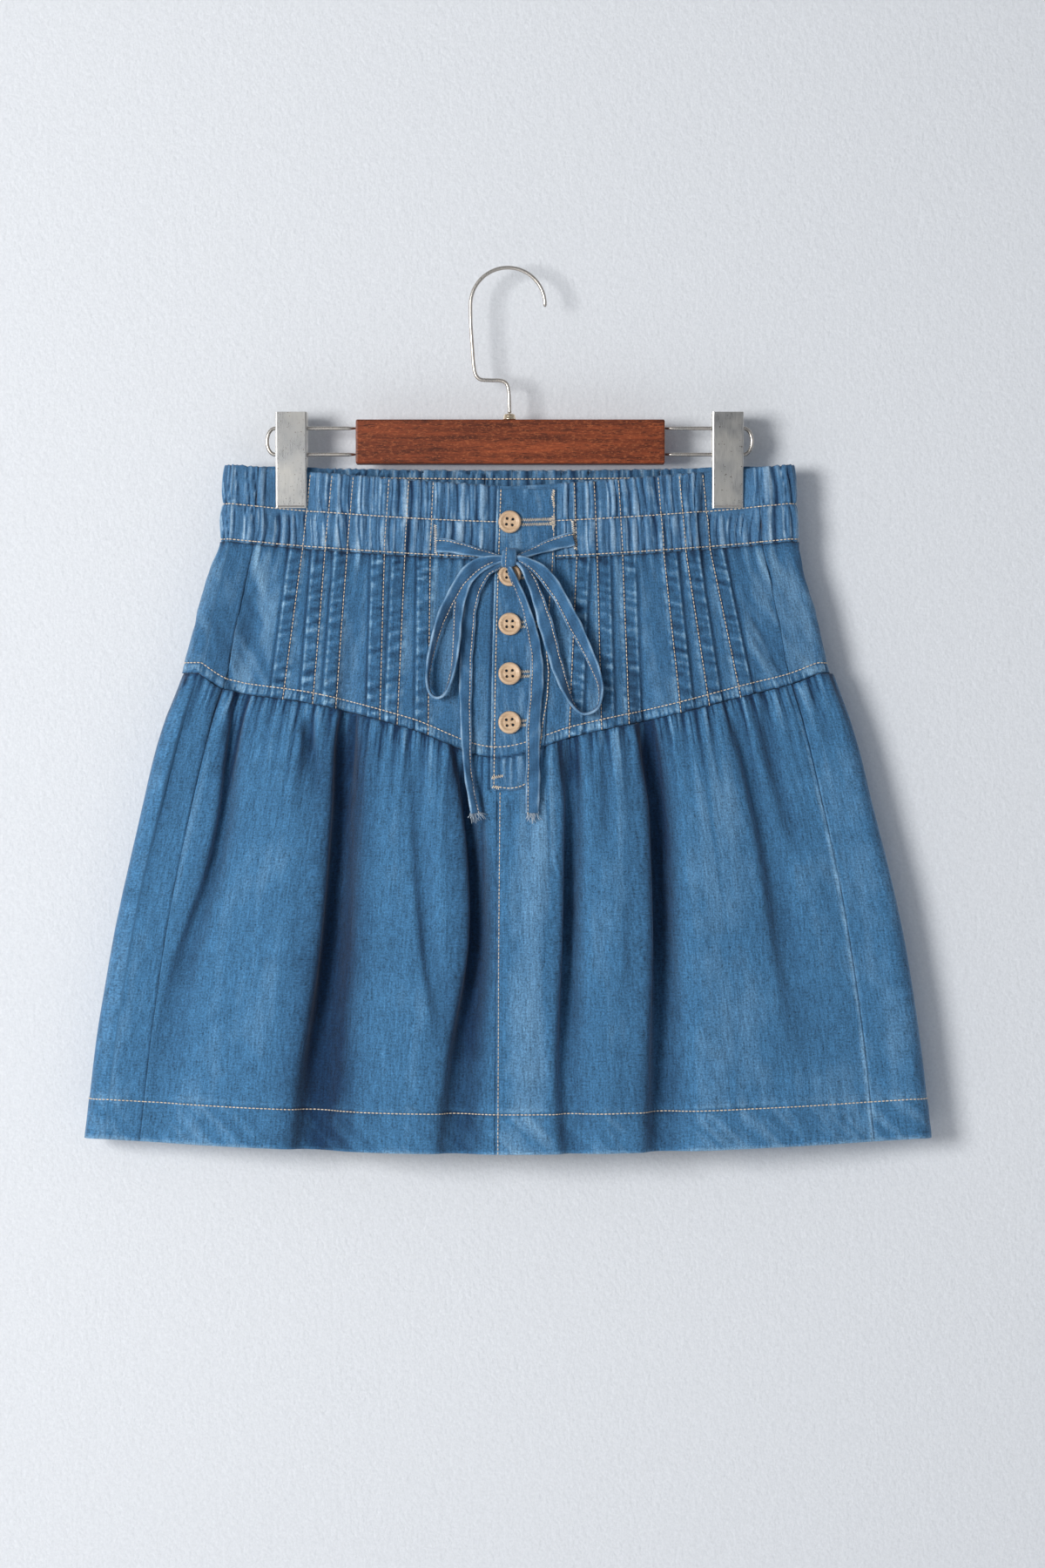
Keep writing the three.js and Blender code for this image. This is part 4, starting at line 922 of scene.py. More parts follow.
def upright_line(tree, stations, count):
    """A line of stitches down the front through stations of x and z."""
    x, z = np.array(stations, float).T
    at = np.linspace(z[0], z[-1], count)
    across = np.interp(-at, -z, x)
    return seated(tree, across_front(across, at), at)


LEFT_Q, RIGHT_Q = PANELS["front_left"][0], PANELS["front_right"][1]
LEFT_STRIP_Q, RIGHT_STRIP_Q = across_front(-8.0, -160.0), across_front(29.0, -160.0)
waist_tree = cloth_tree("waistband_front_left", "waistband_front_right", "waistband_back")
yoke_tree = cloth_tree("yoke_front_left", "yoke_front_right", "yoke_back")
skirt_tree = cloth_tree("skirt_front_left", "skirt_front_right", "skirt_back")
strip_tree = cloth_tree("strip")
BACK_ENDS = (RIGHT_Q + 0.001, ROUND + LEFT_Q - 0.001)

sew("waistband_stitching", [
    level_line(waist_tree, line, start, stop, offset, count)
    for line, offset in (("row1", 0), ("row2", 1.6))
    for start, stop, count in ((LEFT_Q, LEFT_STRIP_Q, 160), (RIGHT_STRIP_Q, RIGHT_Q, 160), (*BACK_ENDS, 360))
])

TUCK_TOP = 0.965
tuck_lines = [pair for pairs in TUCKS.values() for pair in pairs]
sew("waistband_tuck_stitching", [
    upright_line(waist_tree, [(x * TUCK_TOP, -131 - 9 * (1 - abs(x) / 140)), (x, -176), (x, -178)], 50)
    for x, _ in tuck_lines
], width=FINE_WIDE)


def tuck_stations(at_waist, at_seam):
    top = float(line_height("row2", across_front(at_waist, -178.0)))
    low = float(line_height("seam", across_front(at_seam, -280.0)))
    return [(at_waist, top - 0.6), (at_seam, low + 1.0)]


sew("tuck_stitching", [upright_line(yoke_tree, tuck_stations(*pair), 90) for pair in tuck_lines],
    width=FINE_WIDE)
sew("yoke_seam_stitching", [
    level_line(yoke_tree, "seam", start, stop, 6.6, count)
    for start, stop, count in (
        (LEFT_Q, across_front(-11.6, -306.0), 180), (across_front(22.0, -298.0), RIGHT_Q, 180),
        (*BACK_ENDS, 360),
    )
])
centre_x = [(float(CENTRE_SEAM * reach_at(z)) + 1.8, z) for z in (-333.0, -440.0, -558.0)]
sew("hem_stitching", [
    level_line(skirt_tree, "hem", start, stop, HEM_DEPTH, count)
    for start, stop, count in ((LEFT_Q, RIGHT_Q, 420), (*BACK_ENDS, 420))
])
sew("skirt_seam_stitching", [upright_line(skirt_tree, centre_x, 160)], width=FINE_WIDE)

J_CURVE = [
    (24.8, -262), (20.8, -290), (18.0, -310), (14.5, -322), (9.0, -327.2), (1.0, -329.3), (-8.0, -328.4),
]
strip_left = [(x + 2.2, z) for x, z in zip(PLACKET_LEFT, (-141.5, -200, -260, -326))]
strip_right = [(28.2, -141.5), (28.0, -168), (27.0, -189), (23.4, -241)] + J_CURVE[:3]


def curved_line(tree, stations, steps):
    path = np.array(stations, float)
    length = lengths_along(path)
    at = np.linspace(0, length[-1], steps)
    x, z = along_table(length, path[:, 0], at), along_table(length, path[:, 1], at)
    return seated(tree, across_front(x, z), z)


seam_over = [(x, float(line_height("seam", across_front(x, -300.0))) + 6.6) for x in np.linspace(-11, 20, 8)]
sew("button_strip_stitching", [
    curved_line(strip_tree, strip_left, 180),
    curved_line(strip_tree, strip_right + J_CURVE[3:], 200),
    curved_line(strip_tree, seam_over, 30),
])
top_q = np.linspace(*BACK_ENDS, 420)
inside = raised(wrapped(top_q), line_height("top", wrapped(top_q)) - 4.0, -CASING + 0.1)
sew("elastic_stitching", [list(inside)], width=0.9)


# ---------------------------------------------------------------- Buttonholes, eyelets and bar tacks
# Buttonholes and the drawstring's eyelets are edged with tight zigzag stitching, and short bar tacks hold the
# ends of the button strip's seams.
def tube_faces(first, rings, sides):
    """Faces that join rings of points into a closed tube; first is the number of its first point."""
    last = first + (rings - 1) * sides
    faces = [tuple(first + k for k in reversed(range(sides))), tuple(last + k for k in range(sides))]
    for a in range(first, last, sides):
        pairs = [(a + k, a + (k + 1) % sides) for k in range(sides)]
        faces += [(this, after, after + sides, this + sides) for this, after in pairs]
    return faces


def turn_outward(piece):
    shape = bmesh.new()
    shape.from_mesh(piece.data)
    bmesh.ops.recalc_face_normals(shape, faces=shape.faces)
    shape.to_mesh(piece.data)
    shape.free()
    return piece


def unit(ways):
    return ways / np.linalg.norm(ways, axis=1)[:, None]


def round_runs(name, paths, radius, material, slot, *replaced, sides=5, ends=1.0):
    """A round strand along each path of points in mm, closed at both ends, which can narrow to a share."""
    points, faces = [], []
    for path in paths:
        path = np.asarray(path, float)
        faces += tube_faces(len(points), len(path), sides)
        along = np.gradient(path, axis=0)
        side = unit(np.cross(along, [0, -1, 0]))
        up = unit(np.cross(side, along))
        for i, p in enumerate(path):
            wide = radius * (ends if i in (0, len(path) - 1) else 1)
            turns = [2 * math.pi * k / sides for k in range(sides)]
            points += [p + wide * (math.cos(turn) * side[i] + math.sin(turn) * up[i]) for turn in turns]
    return settle(turn_outward(make_piece(name, points, faces, material)), slot, *replaced)


def zigzag(tree, start, stop, wide, pitch=0.55):
    """A zigzag on the cloth from start to stop, both x and z in mm."""
    a, b = np.array(start, float), np.array(stop, float)
    steps = int(np.linalg.norm(b - a) / pitch)
    across = np.array([-(b - a)[1], (b - a)[0]]) / np.linalg.norm(b - a) * wide / 2
    t = np.linspace(0, 1, steps)[:, None]
    rng = np.random.default_rng(int(abs(a[0] * 7 + a[1])))
    way = np.where(np.arange(steps) % 2, 1, -1)[:, None] * rng.uniform(0.8, 1.15, (steps, 1))
    at = a + (b - a) * t + across * way
    return seated(tree, across_front(at[:, 0], at[:, 1]), at[:, 1], 0.32)


BUTTON_Z = [-161.4, -195.3, -226.3, -257.7, -288.5]
BUTTONHOLE_END = [26.0, 19.5, 19.5, 18.0, 16.5]
holes = []
for z, end in zip(BUTTON_Z, BUTTONHOLE_END):
    for side in (-1, 1):
        holes.append(zigzag(strip_tree, (5.0, z + 1.5 * side), (end, z + 1.4 * side + 0.5), 1.7))
    holes.append(zigzag(strip_tree, (end + 0.6, z + 2.7), (end + 0.6, z - 1.9), 1.8))
holes += [
    zigzag(strip_tree, *tack)
    for tack in (
        ((28.2, -141), (27.2, -145.5), 1.7), ((27.2, -145.5), (28.2, -151), 1.5),
        ((27.8, -157.5), (28.6, -166), 2.0),
        ((-11.0, -322.8), (-4.0, -321.6), 1.6), ((-10.5, -328.3), (-6.5, -329.2), 1.8),
    )
]
round_runs("buttonhole_stitching", holes, 0.42, thread_material("cream_thread", (0.95, 0.82, 0.64)), "denim")
eyelets = [
    zigzag(waist_tree, start, stop, 1.7)
    for start, stop in (((-46.8, -163), (-46.4, -181)), ((40.0, -160.5), (41.6, -178)))
]
round_runs("eyelet_stitching", eyelets, 0.44, thread_material("pale_thread", (0.93, 0.84, 0.70)), "denim")


# ---------------------------------------------------------------- Buttons
# Five turned buttons of pale corozo nut, 14.4 mm across, with a raised rim and four holes, sewn through.
BUTTON_WIDE, BUTTON_THICK = 14.4, 3.0
HOLE_SPREAD, HOLE_WIDE = 3.7, 1.9


def corozo():
    material, tree, shader = new_material("corozo", {})
    place = object_place(tree)
    grain = noise(tree, stretched(tree, place, (120, 120, 900)), 1, 4, 0.6)
    broad = noise(tree, place, 90, 2)
    bands = ranged(tree, broad, 0.3, 0.7, 0, 0.4)
    tone = math_node(tree, "ADD", ranged(tree, grain, 0.3, 0.7, 0, 0.7), bands, clamp=True)
    feed(tree, shader, {
        "Base Color": mixed(tree, tone, (0.44, 0.28, 0.16, 1), (0.64, 0.46, 0.30, 1)),
        "Roughness": ranged(tree, tone, 0, 1, 0.42, 0.32),
    })
    bumped(tree, shader, grain, 0.15, 0.1)
    return material


COROZO = corozo()
BUTTON_THREAD = thread_material("button_thread", (0.07, 0.06, 0.055))


def turned(name, profile, sides, material):
    """A closed solid of revolution about Z from a profile of radius and height in mm, up its outside."""
    turns = [2 * math.pi * k / sides for k in range(sides)]
    points = [(out * math.cos(turn), out * math.sin(turn), up) for out, up in profile for turn in turns]
    return turn_outward(make_piece(name, points, tube_faces(0, len(profile), sides), material))


def button_profile():
    r, t = BUTTON_WIDE / 2, BUTTON_THICK
    profile = [(r - 1.6, 0)]
    for turn in np.radians(np.linspace(-90, 90, 9)):
        profile.append((r - 1.1 + 1.1 * math.cos(turn), t / 2 + (t / 2) * math.sin(turn)))
    hollow = [(1.9, 0.08), (2.3, 0.45), (2.8, 0.75), (3.4, 0.85), (3.9, 0.7), (4.4, 0.72)]
    return profile + [(r - inward, t - down) for inward, down in hollow] + [(0.1, t - 0.9)]


def make_button(i, z):
    piece = turned(f"button_{i + 1}_corozo", button_profile(), 48, COROZO)
    cutters = []
    for sx in (-1, 1):
        for sz in (-1, 1):
            cutter = turned("cutter", [(HOLE_WIDE / 2, -2), (HOLE_WIDE / 2, 2 * BUTTON_THICK)], 12, COROZO)
            hole_x, hole_z = sx * HOLE_SPREAD / 2 * MM, sz * HOLE_SPREAD / 2 * MM
            cutter.data.transform(Matrix.Translation((hole_x, hole_z, 0)))
            hole = piece.modifiers.new("hole", "BOOLEAN")
            hole.operation, hole.object, hole.solver = "DIFFERENCE", cutter, "EXACT"
            cutters.append(cutter)
    plain_mesh(piece)
    for cutter in cutters:
        bpy.data.objects.remove(cutter)
    q = across_front(0.2, z)
    reach = BUTTON_WIDE / 2
    upper, lower = surface(q, z + reach), surface(q, z - reach)
    facing = Vector((0, -2 * reach, float(upper[1] - lower[1]))).normalized()
    x, y = surface(q, z)
    centre = Vector((float(x), float(y), z)) + facing * (STRIP_LIFT + STRIP_THICK + 0.3)
    turn = facing.to_track_quat("Z", "Y").to_matrix().to_4x4()
    piece.data.transform(Matrix.Translation(centre * MM) @ turn @ Matrix.Rotation(0.06 * (i - 2), 4, "Z"))
    settle(piece, "button", f"button_{i + 1}")
    base = centre + facing * 1.0
    side, up = Vector((1, 0, 0)), facing.cross(Vector((1, 0, 0))).normalized()
    half = HOLE_SPREAD / 2
    threads = [[base + side * (s * half) + up * (k * half) + facing * (0 if abs(s) == 1 else 0.75)
                for s in (-1, -0.82, -0.4, 0.4, 0.82, 1)] for k in (-1, 1)]
    round_runs(f"button_{i + 1}_thread", threads, 0.26, BUTTON_THREAD, "button")


for i, z in enumerate(BUTTON_Z):
    make_button(i, z)


# ---------------------------------------------------------------- Drawstring
# The drawstring is a folded denim strip 9 mm wide, edge-stitched, in two halves that come out of eyelets in
# the waistband and are tied in a bow. Its raw ends fray below their last stitches.
TIE_WIDE, TIE_THICK = 8.8, 1.4
TIE_DENIM = denim(
    "drawstring_denim", (0.005, 0.024, 0.062), (0.046, 0.138, 0.265), (0.36, 0.53, 0.69), slub=0.35
)
# Each half: x, z, lift over the cloth, share of the full width, and how far the strip is turned on edge.
LEFT_TIE = [
    (-46.0, -176.0, 2.2, 1.0, 0), (-38, -176.5, 2.9, 0.95, 5), (-27, -179, 3.8, 0.85, 10),
    (-15, -182, 5.4, 0.6, 25), (-7, -184, 7.0, 0.45, 40), (-1, -185, 7.8, 0.4, 60),
    (-4.5, -184.6, 8.6, 0.45, 40), (-12, -185.6, 9.4, 0.7, 25), (-21, -189.5, 9.2, 1.0, 20),
    (-29.5, -197.5, 8.2, 1.0, 25), (-37, -210, 6.6, 0.95, 35), (-43.5, -224, 5.6, 0.9, 45),
    (-48.6, -241.5, 5.6, 0.85, 62), (-51.3, -257, 6.0, 0.8, 76), (-50.6, -268, 6.2, 0.8, 84),
    (-45.7, -272.6, 6.2, 0.8, 88), (-40.2, -269.5, 6.2, 0.8, 84), (-35.6, -256.3, 5.6, 0.8, 70),
    (-33.4, -238.7, 5.0, 0.85, 55), (-32.0, -216.7, 5.2, 0.95, 38), (-28.8, -202, 6.0, 1.0, 25),
    (-21, -192.5, 7.0, 0.85, 25), (-11, -187.5, 7.6, 0.55, 40), (-4, -186, 7.4, 0.4, 60),
    (-1.5, -186.8, 6.6, 0.4, 60), (-7, -189, 6.0, 0.6, 40), (-15.5, -193.5, 5.2, 0.9, 20),
    (-21.5, -203, 3.6, 1.0, 10), (-24.8, -217, 2.2, 1.0, 5), (-26.4, -234, 1.8, 1.0, 0),
    (-27.4, -256, 1.7, 0.95, 0), (-27.4, -280, 2.0, 0.85, 5), (-26.9, -300, 3.2, 0.75, 15),
    (-26.0, -318, 3.8, 0.65, 28), (-23.6, -334, 3.6, 0.65, 35), (-21.3, -345, 3.4, 0.8, 25),
]
RIGHT_TIE = [
    (40.6, -172.0, 2.2, 1.0, 0), (33, -173.8, 2.9, 0.95, 5), (23, -177, 4.0, 0.85, 10),
    (13, -181, 5.6, 0.6, 25), (6, -183.6, 7.0, 0.45, 40), (1, -184.6, 7.8, 0.4, 60),
    (5, -184.6, 8.6, 0.45, 40), (11.5, -187, 9.4, 0.7, 25), (20.4, -193.4, 9.2, 1.0, 15),
    (30.3, -206.5, 7.8, 1.05, 15), (39.6, -224, 5.8, 1.05, 22), (47.5, -239.5, 4.8, 1.0, 35),
    (54, -254, 4.8, 0.9, 52), (57.6, -267, 5.2, 0.85, 72), (55.6, -278.6, 5.6, 0.8, 85),
    (47.5, -282.8, 5.6, 0.8, 88), (40.6, -278.2, 5.2, 0.8, 78), (35.2, -267.3, 4.6, 0.9, 50),
    (30.2, -252.6, 4.6, 1.0, 28), (26.4, -238.7, 5.0, 1.05, 15), (22.2, -223.9, 5.8, 1.05, 12),
    (18.4, -211.2, 6.8, 0.95, 15), (14.2, -199.8, 7.6, 0.8, 25), (8.4, -190, 7.8, 0.55, 40),
    (3, -186, 7.4, 0.4, 60), (-0.5, -187.4, 6.8, 0.4, 60), (0.6, -192.5, 6.4, 0.5, 45),
    (4.6, -201.5, 6.3, 0.6, 40), (9.6, -213.5, 5.2, 0.7, 35), (13.6, -227.7, 3.6, 0.8, 25),
    (16.3, -241.5, 2.9, 0.9, 15), (17.3, -252.7, 2.7, 0.95, 8), (16.8, -268, 2.6, 1.0, 5),
    (15.4, -284, 2.6, 1.0, 0), (14.8, -302, 2.9, 1.0, 0), (14.8, -320, 3.2, 1.0, 0),
    (14.6, -334, 3.2, 1.0, 0), (14.3, -345, 3.2, 1.0, 0),
]
RIBBON_SECTION = [  # across as share of half width, and stand as share of half thickness
    (-1.0, 0.0), (-0.93, 0.75), (-0.72, 1.05), (-0.62, 0.6), (-0.5, 0.95), (0.0, 1.0), (0.6, 1.0), (0.9, 0.8),
    (1.0, 0.0), (0.9, -0.8), (0.0, -1.0), (-0.9, -0.8),
]


def smooth_path(stations, per):
    """Stations of any measures, smoothed at even steps between each pair."""
    table = np.array(stations, float)
    count = len(table)
    t = np.linspace(0, count - 1, (count - 1) * per + 1)
    i = np.clip(t.astype(int), 0, count - 2)
    s = (t - i)[:, None]
    before, after = table[np.maximum(i - 1, 0)], table[np.minimum(i + 2, count - 1)]
    a, b = table[i], table[i + 1]
    return 0.5 * (2 * a + (b - before) * s + (2 * before - 5 * a + 4 * b - after) * s**2
                  + (3 * a - before - 3 * b + after) * s**3)


def make_tie(name, stations, mirrored, *replaced):
    path = smooth_path(stations, 7)
    x, z, lift, share, roll = path.T
    y = surface(across_front(x, z), z, False)[1] - lift - TIE_THICK / 2
    centre = np.stack([x, y, z], axis=-1)
    along = unit(np.gradient(centre, axis=0))
    flat = unit(np.cross(along, [0, -1, 0]))
    rise = np.cross(flat, along)
    turn = np.radians(roll)[:, None] * (-1 if mirrored else 1)
    across = np.cos(turn) * flat + np.sin(turn) * rise
    stand = np.cross(across, along)
    length = lengths_along(centre)
    wrinkle = 1 + 0.05 * np.sin(length / 5.1) + 0.04 * np.sin(length / 2.3)
    points, uv, wear_and_shade = [], [], []
    side = -1 if mirrored else 1
    for i in range(len(centre)):
        half = TIE_WIDE / 2 * share[i] * wrinkle[i]
        thick = TIE_THICK / 2 * (1 + 1.1 * (1 - min(share[i], 1)))
        for w, h in RIBBON_SECTION:
            bump = 0.12 * math.sin(length[i] / 1.9 + 3 * w)
            points.append(centre[i] + across[i] * half * w * side + stand[i] * (thick * h + bump * (h > 0)))
            uv.append((half * w + 4 * len(stations), length[i]))
            # Worn edges are lighter; painted shade darkens the groove beside the stitching.
            edge = 0.3 if abs(w) > 0.88 else (-0.26 if abs(w + 0.62) < 0.02 else 0)
            creased = 0.09 * math.sin(length[i] / 2.4 + 2 * w) + 0.07 * math.sin(length[i] / 6.1)
            wear_and_shade.append(0.39 + edge + creased)
    faces = tube_faces(0, len(centre), len(RIBBON_SECTION))
    piece = settle(turn_outward(make_piece(name, points, faces, TIE_DENIM, uv, wear_and_shade)), "tie", *replaced)
    aside = (TIE_WIDE / 2 * share * wrinkle * -0.66 * side)[:, None]
    seam = centre + across * aside + stand * (TIE_THICK * 0.42)
    sew(name + "_stitching", [list(seam)], 2.3, 1.9, 0.62, "tie")
    end, down = centre[-1], along[-1]
    rng = np.random.default_rng(5 if mirrored else 6)
    frays = []
    for _ in range(26):
        w = rng.uniform(-0.95, 0.95)
        start = end + across[-1] * (TIE_WIDE / 2 * share[-1] * w) - down + stand[-1] * rng.uniform(-0.4, 0.4)
        way = down + across[-1] * rng.normal(0, 0.35) + stand[-1] * rng.normal(0, 0.18)
        long = rng.uniform(2.5, 7.5)
        bend = across[-1] * rng.normal(0, 1.2)
        frays.append([start + way * long * s + bend * s * s for s in (0, 0.35, 0.7, 1.0)])
    round_runs(name + "_fray", frays, 0.2, FRAY_THREAD, "tie", sides=3)


FRAY_THREAD = thread_material("frayed_thread", (0.50, 0.58, 0.66))
make_tie("drawstring_left", LEFT_TIE, False, "tie_left_lead", "tie_left_loop", "tie_left_tail")
make_tie("drawstring_right", RIGHT_TIE, True, "tie_right_lead", "tie_right_loop", "tie_right_tail")


KNOT_Z, KNOT_LIFT, KNOT_LEAN = -184.3, 8.6, 0.06


def make_knot():
    """The knot: one turn of the strip, pulled tight round the crossing."""
    ring, wide = 40, 9
    base_y = float(surface(across_front(0.0, -184.5), -184.5, False)[1]) - KNOT_LIFT
    points, uv, wear_and_shade = [], [], []
    for s in np.linspace(-1, 1, wide):
        for turn in np.linspace(0, 2 * math.pi, ring, endpoint=False):
            half = 4.3 + 0.5 * math.cos(turn) ** 2
            swell = 1 - 0.16 * abs(s) ** 3 + 0.03 * math.sin(5 * s + 2 * turn)
            y, z = -4.2 * math.cos(turn) * swell, 6.2 * math.sin(turn) * swell
            points.append((-0.3 + half * s + KNOT_LEAN * z, base_y + y, KNOT_Z + z + 0.4 * s))
            uv.append((half * s, turn * 5))
            wear_and_shade.append(0.5 + (0.16 if abs(s) == 1 else 0) + 0.07 * math.sin(9 * s + 3 * turn))
    knot = make_piece("drawstring_knot", points, tube_faces(0, wide, ring), TIE_DENIM, uv, wear_and_shade)
    settle(turn_outward(knot), "tie", "tie_knot")
    row = [(-2.2 + KNOT_LEAN * 6.3 * math.sin(t), base_y - 4.35 * math.cos(t), KNOT_Z + 6.3 * math.sin(t))
           for t in np.linspace(-1.25, 1.25, 16)]
    sew("drawstring_knot_stitching", [row], 2.3, 1.8, 0.5, "tie")


make_knot()


# ---------------------------------------------------------------- Hanger
# A hook of satin nickel wire is riveted by a ferrule into a varnished wooden bar. A bent wire at each end of
# the bar carries a sliding clip of pressed sheet, held shut by a coil spring.
def brushed_group():
    """Fine scratches along one direction, with duller patches and specks."""
    tree, given, out = node_group(
        "brushed_metal", "ShaderNodeTree",
        {"Base": "Color", "Warm": "Color", "Dull": "Float", "Specks": "Float"},
        {"Color": "Color", "Roughness": "Float", "Height": "Float"},
    )
    place = object_place(tree)
    fine = noise(tree, stretched(tree, place, (2600, 2600, 90)), 1, 2, 0.6)
    patchy = noise(tree, place, 60, 3)
    height = node(tree, "ShaderNodeSeparateXYZ", {"Vector": place}).outputs["Z"]
    speckled = ranged(tree, noise(tree, place, 800, 1), 0.7, 0.74, 0, 1)
    # Besides the specks, the sheet is made darker towards its top.
    specks, darker_top = [
        math_node(tree, "MULTIPLY", value, given["Specks"])
        for value in (speckled, ranged(tree, height, -0.125, -0.096, 0, 0.32))
    ]
    tone = mixed(tree, ranged(tree, patchy, 0.35, 0.65, 0, 1), given["Base"], given["Warm"])
    tone = mixed(tree, darker_top, tone, (0.2, 0.19, 0.18, 1))
    scratched = ranged(tree, fine, 0.3, 0.7, -0.07, 0.07)
    dulled = ranged(tree, patchy, 0.35, 0.65, -0.04, 0.06)
    feed(tree, out, {
        "Color": mixed(tree, specks, tone, (0.16, 0.14, 0.12, 1)),
        "Roughness": total(tree, given["Dull"], scratched, dulled),
        "Height": fine,
    })
    return tree


BRUSHED = brushed_group()


def satin_metal(name, base, warm, dull, specks):
    material, tree, shader = new_material(name, {"Metallic": 0.92})
    finish = node(
        tree, "ShaderNodeGroup", {"Base": (*base, 1), "Warm": (*warm, 1), "Dull": dull, "Specks": specks},
        node_tree=BRUSHED,
    ).outputs
    feed(tree, shader, {"Base Color": finish["Color"], "Roughness": finish["Roughness"]})
    bumped(tree, shader, finish["Height"], 0.12, 0.05)
    return material


WIRE_NICKEL = satin_metal("wire_nickel", (0.50, 0.47, 0.43), (0.54, 0.49, 0.43), 0.3, 0)
CLIP_SHEET = satin_metal("clip_sheet", (0.43, 0.43, 0.42), (0.47, 0.455, 0.42), 0.34, 1)


def bent(x, z, reach, rise, start, stop, steps):
    """An arc in the hanger's plane about x and z, from start to stop in degrees."""
    turns = np.radians(np.linspace(start, stop, steps))
    return [(x + reach * math.cos(t), 0, z + rise * math.sin(t)) for t in turns]


BOW_RADIUS, BOW_X, WIRE_RADIUS = 23.65, -1.1, 1.2
bow = bent(BOW_X, WIRE_RADIUS - BOW_RADIUS, BOW_RADIUS, BOW_RADIUS, -3, 180, 60)
neck = [(-24.6, -34), (-23.7, -48), (-22.8, -60), (-21.6, -66.5), (-18.6, -69.7), (-13, -70.3), (-6, -70.5),
        (-2.2, -72.2), (-0.6, -76.5), (-0.1, -84), (0, -91.3)]
neck = [(bow[-1][0], bow[-1][2])] + neck
neck_path = [(p[0], 0, p[1]) for p in smooth_path(neck, 8)[1:]]
round_runs(
    "hook_wire", [bow + neck_path], WIRE_RADIUS, WIRE_NICKEL, "wire", "hanger_hook", sides=16, ends=0.5
)

BRASS = satin_metal("ferrule_brass", (0.62, 0.53, 0.40), (0.66, 0.53, 0.37), 0.26, 0)
FERRULE_Z = -95.4
FERRULE_PROFILE = [
    (4.0, 0), (4.05, 0.3), (4.0, 0.8), (3.7, 1.0), (3.6, 1.3), (3.55, 2.6), (3.3, 3.2), (2.6, 3.6),
    (1.6, 3.8),
]
ferrule = turned("ferrule_brass", FERRULE_PROFILE, 40, BRASS)
ferrule.data.transform(Matrix.Translation((0, 0, FERRULE_Z * MM)))
settle(ferrule, "wire", "hanger_ferrule")

RAIL_TOP, RAIL_LOW, RAIL_REACH, RAIL_BEND = -100.9, -117.5, 154.0, 5.0
BAR_MIDDLE, RAIL_START = 0.5, 98.3
for name, side in (("left", -1), ("right", 1)):
    start, stop = BAR_MIDDLE + side * RAIL_START, side * (RAIL_REACH - RAIL_BEND)
    middle, rise = (RAIL_TOP + RAIL_LOW) / 2, (RAIL_TOP - RAIL_LOW) / 2
    runs = [(start + (stop - start) * t, 0, RAIL_TOP) for t in np.linspace(0, 0.98, 12)]
    runs += bent(stop, middle, side * RAIL_BEND, rise, 90, -90, 24)
    runs += [(start + (stop - start) * t, 0, RAIL_LOW) for t in np.linspace(0.98, 0, 12)]
    round_runs(
        f"rail_wire_{name}", [runs], WIRE_RADIUS, WIRE_NICKEL, "wire", f"hanger_rail_{name}",
        sides=16, ends=0.5,
    )


def varnished_wood():
    material, tree, shader = new_material(
        "varnished_wood", {"Specular IOR Level": 0.2, "Coat Weight": 0.06, "Coat Roughness": 0.25}
    )
    place = object_place(tree)
    grain, pores, broad, flecks = [
        noise(tree, stretched(tree, place, scale), 1, detail, roughness)
        for scale, detail, roughness in (
            ((14, 260, 330), 5, 0.62), ((160, 1500, 1500), 3, 0.7),
            ((9, 60, 60), 2, 0.5), ((520, 1300, 1300), 2, 0.6),
        )
    ]
    bands = ranged(tree, broad, 0.3, 0.7, -0.1, 0.35)
    tone = math_node(tree, "ADD", ranged(tree, grain, 0.3, 0.7, 0, 0.7), bands, clamp=True)
    color = mixed(tree, tone, (0.045, 0.009, 0.004, 1), (0.29, 0.062, 0.02, 1))
    color = mixed(tree, ranged(tree, pores, 0.5, 0.66, 0, 0.8), color, (0.02, 0.005, 0.003, 1))
    color = mixed(tree, ranged(tree, flecks, 0.52, 0.7, 0, 0.45), color, (0.48, 0.14, 0.05, 1))
    feed(tree, shader, {"Base Color": color, "Roughness": ranged(tree, pores, 0.3, 0.7, 0.36, 0.5)})
    bumped(tree, shader, pores, 0.25, 0.12)
    return material


def solid_box(name, low, high, bevel, material, slot, *replaced):
    points = [(x, y, z) for x in (low[0], high[0]) for y in (low[1], high[1]) for z in (low[2], high[2])]
    faces = [(0, 1, 3, 2), (4, 6, 7, 5), (0, 4, 5, 1), (2, 3, 7, 6), (0, 2, 6, 4), (1, 5, 7, 3)]
    piece = turn_outward(make_piece(name, points, faces, material, smooth=False))
    edge = piece.modifiers.new("edge", "BEVEL")
    edge.width, edge.segments = bevel * MM, 3
    return settle(piece, slot, *replaced)


solid_box("bar_wood", (-97.5, -6.5, -123.7), (98.5, 6.5, -95.7), 1.1, varnished_wood(), "bar", "hanger_bar")

CLIP_TOP, CLIP_BOTTOM, CLIP_JAW, CLIP_OUT, CLIP_PLATE, CLIP_WIDE = -91, -151.8, -141, 8, 1.2, 20
FLANGE_DEPTH = (6.1, 1.4)
CLIP_LIP = CASING + 3 * SEAM_GAP
JAW_HALF, JAW_THICK = 8.6, 1.3
COIL_REACH, COIL_RADIUS, COIL_Z, COIL_TURNS = 5.6, 5.0, -109.2, 6


def jaw_rubber():
    material, tree, shader = new_material("jaw_rubber", {"Roughness": 0.8})
    speckle = noise(tree, object_place(tree), 700, 2)
    feed(tree, shader, {"Base Color": mixed(tree, speckle, (0.16, 0.15, 0.14, 1), (0.24, 0.23, 0.22, 1))})
    return material


JAW_RUBBER = jaw_rubber()


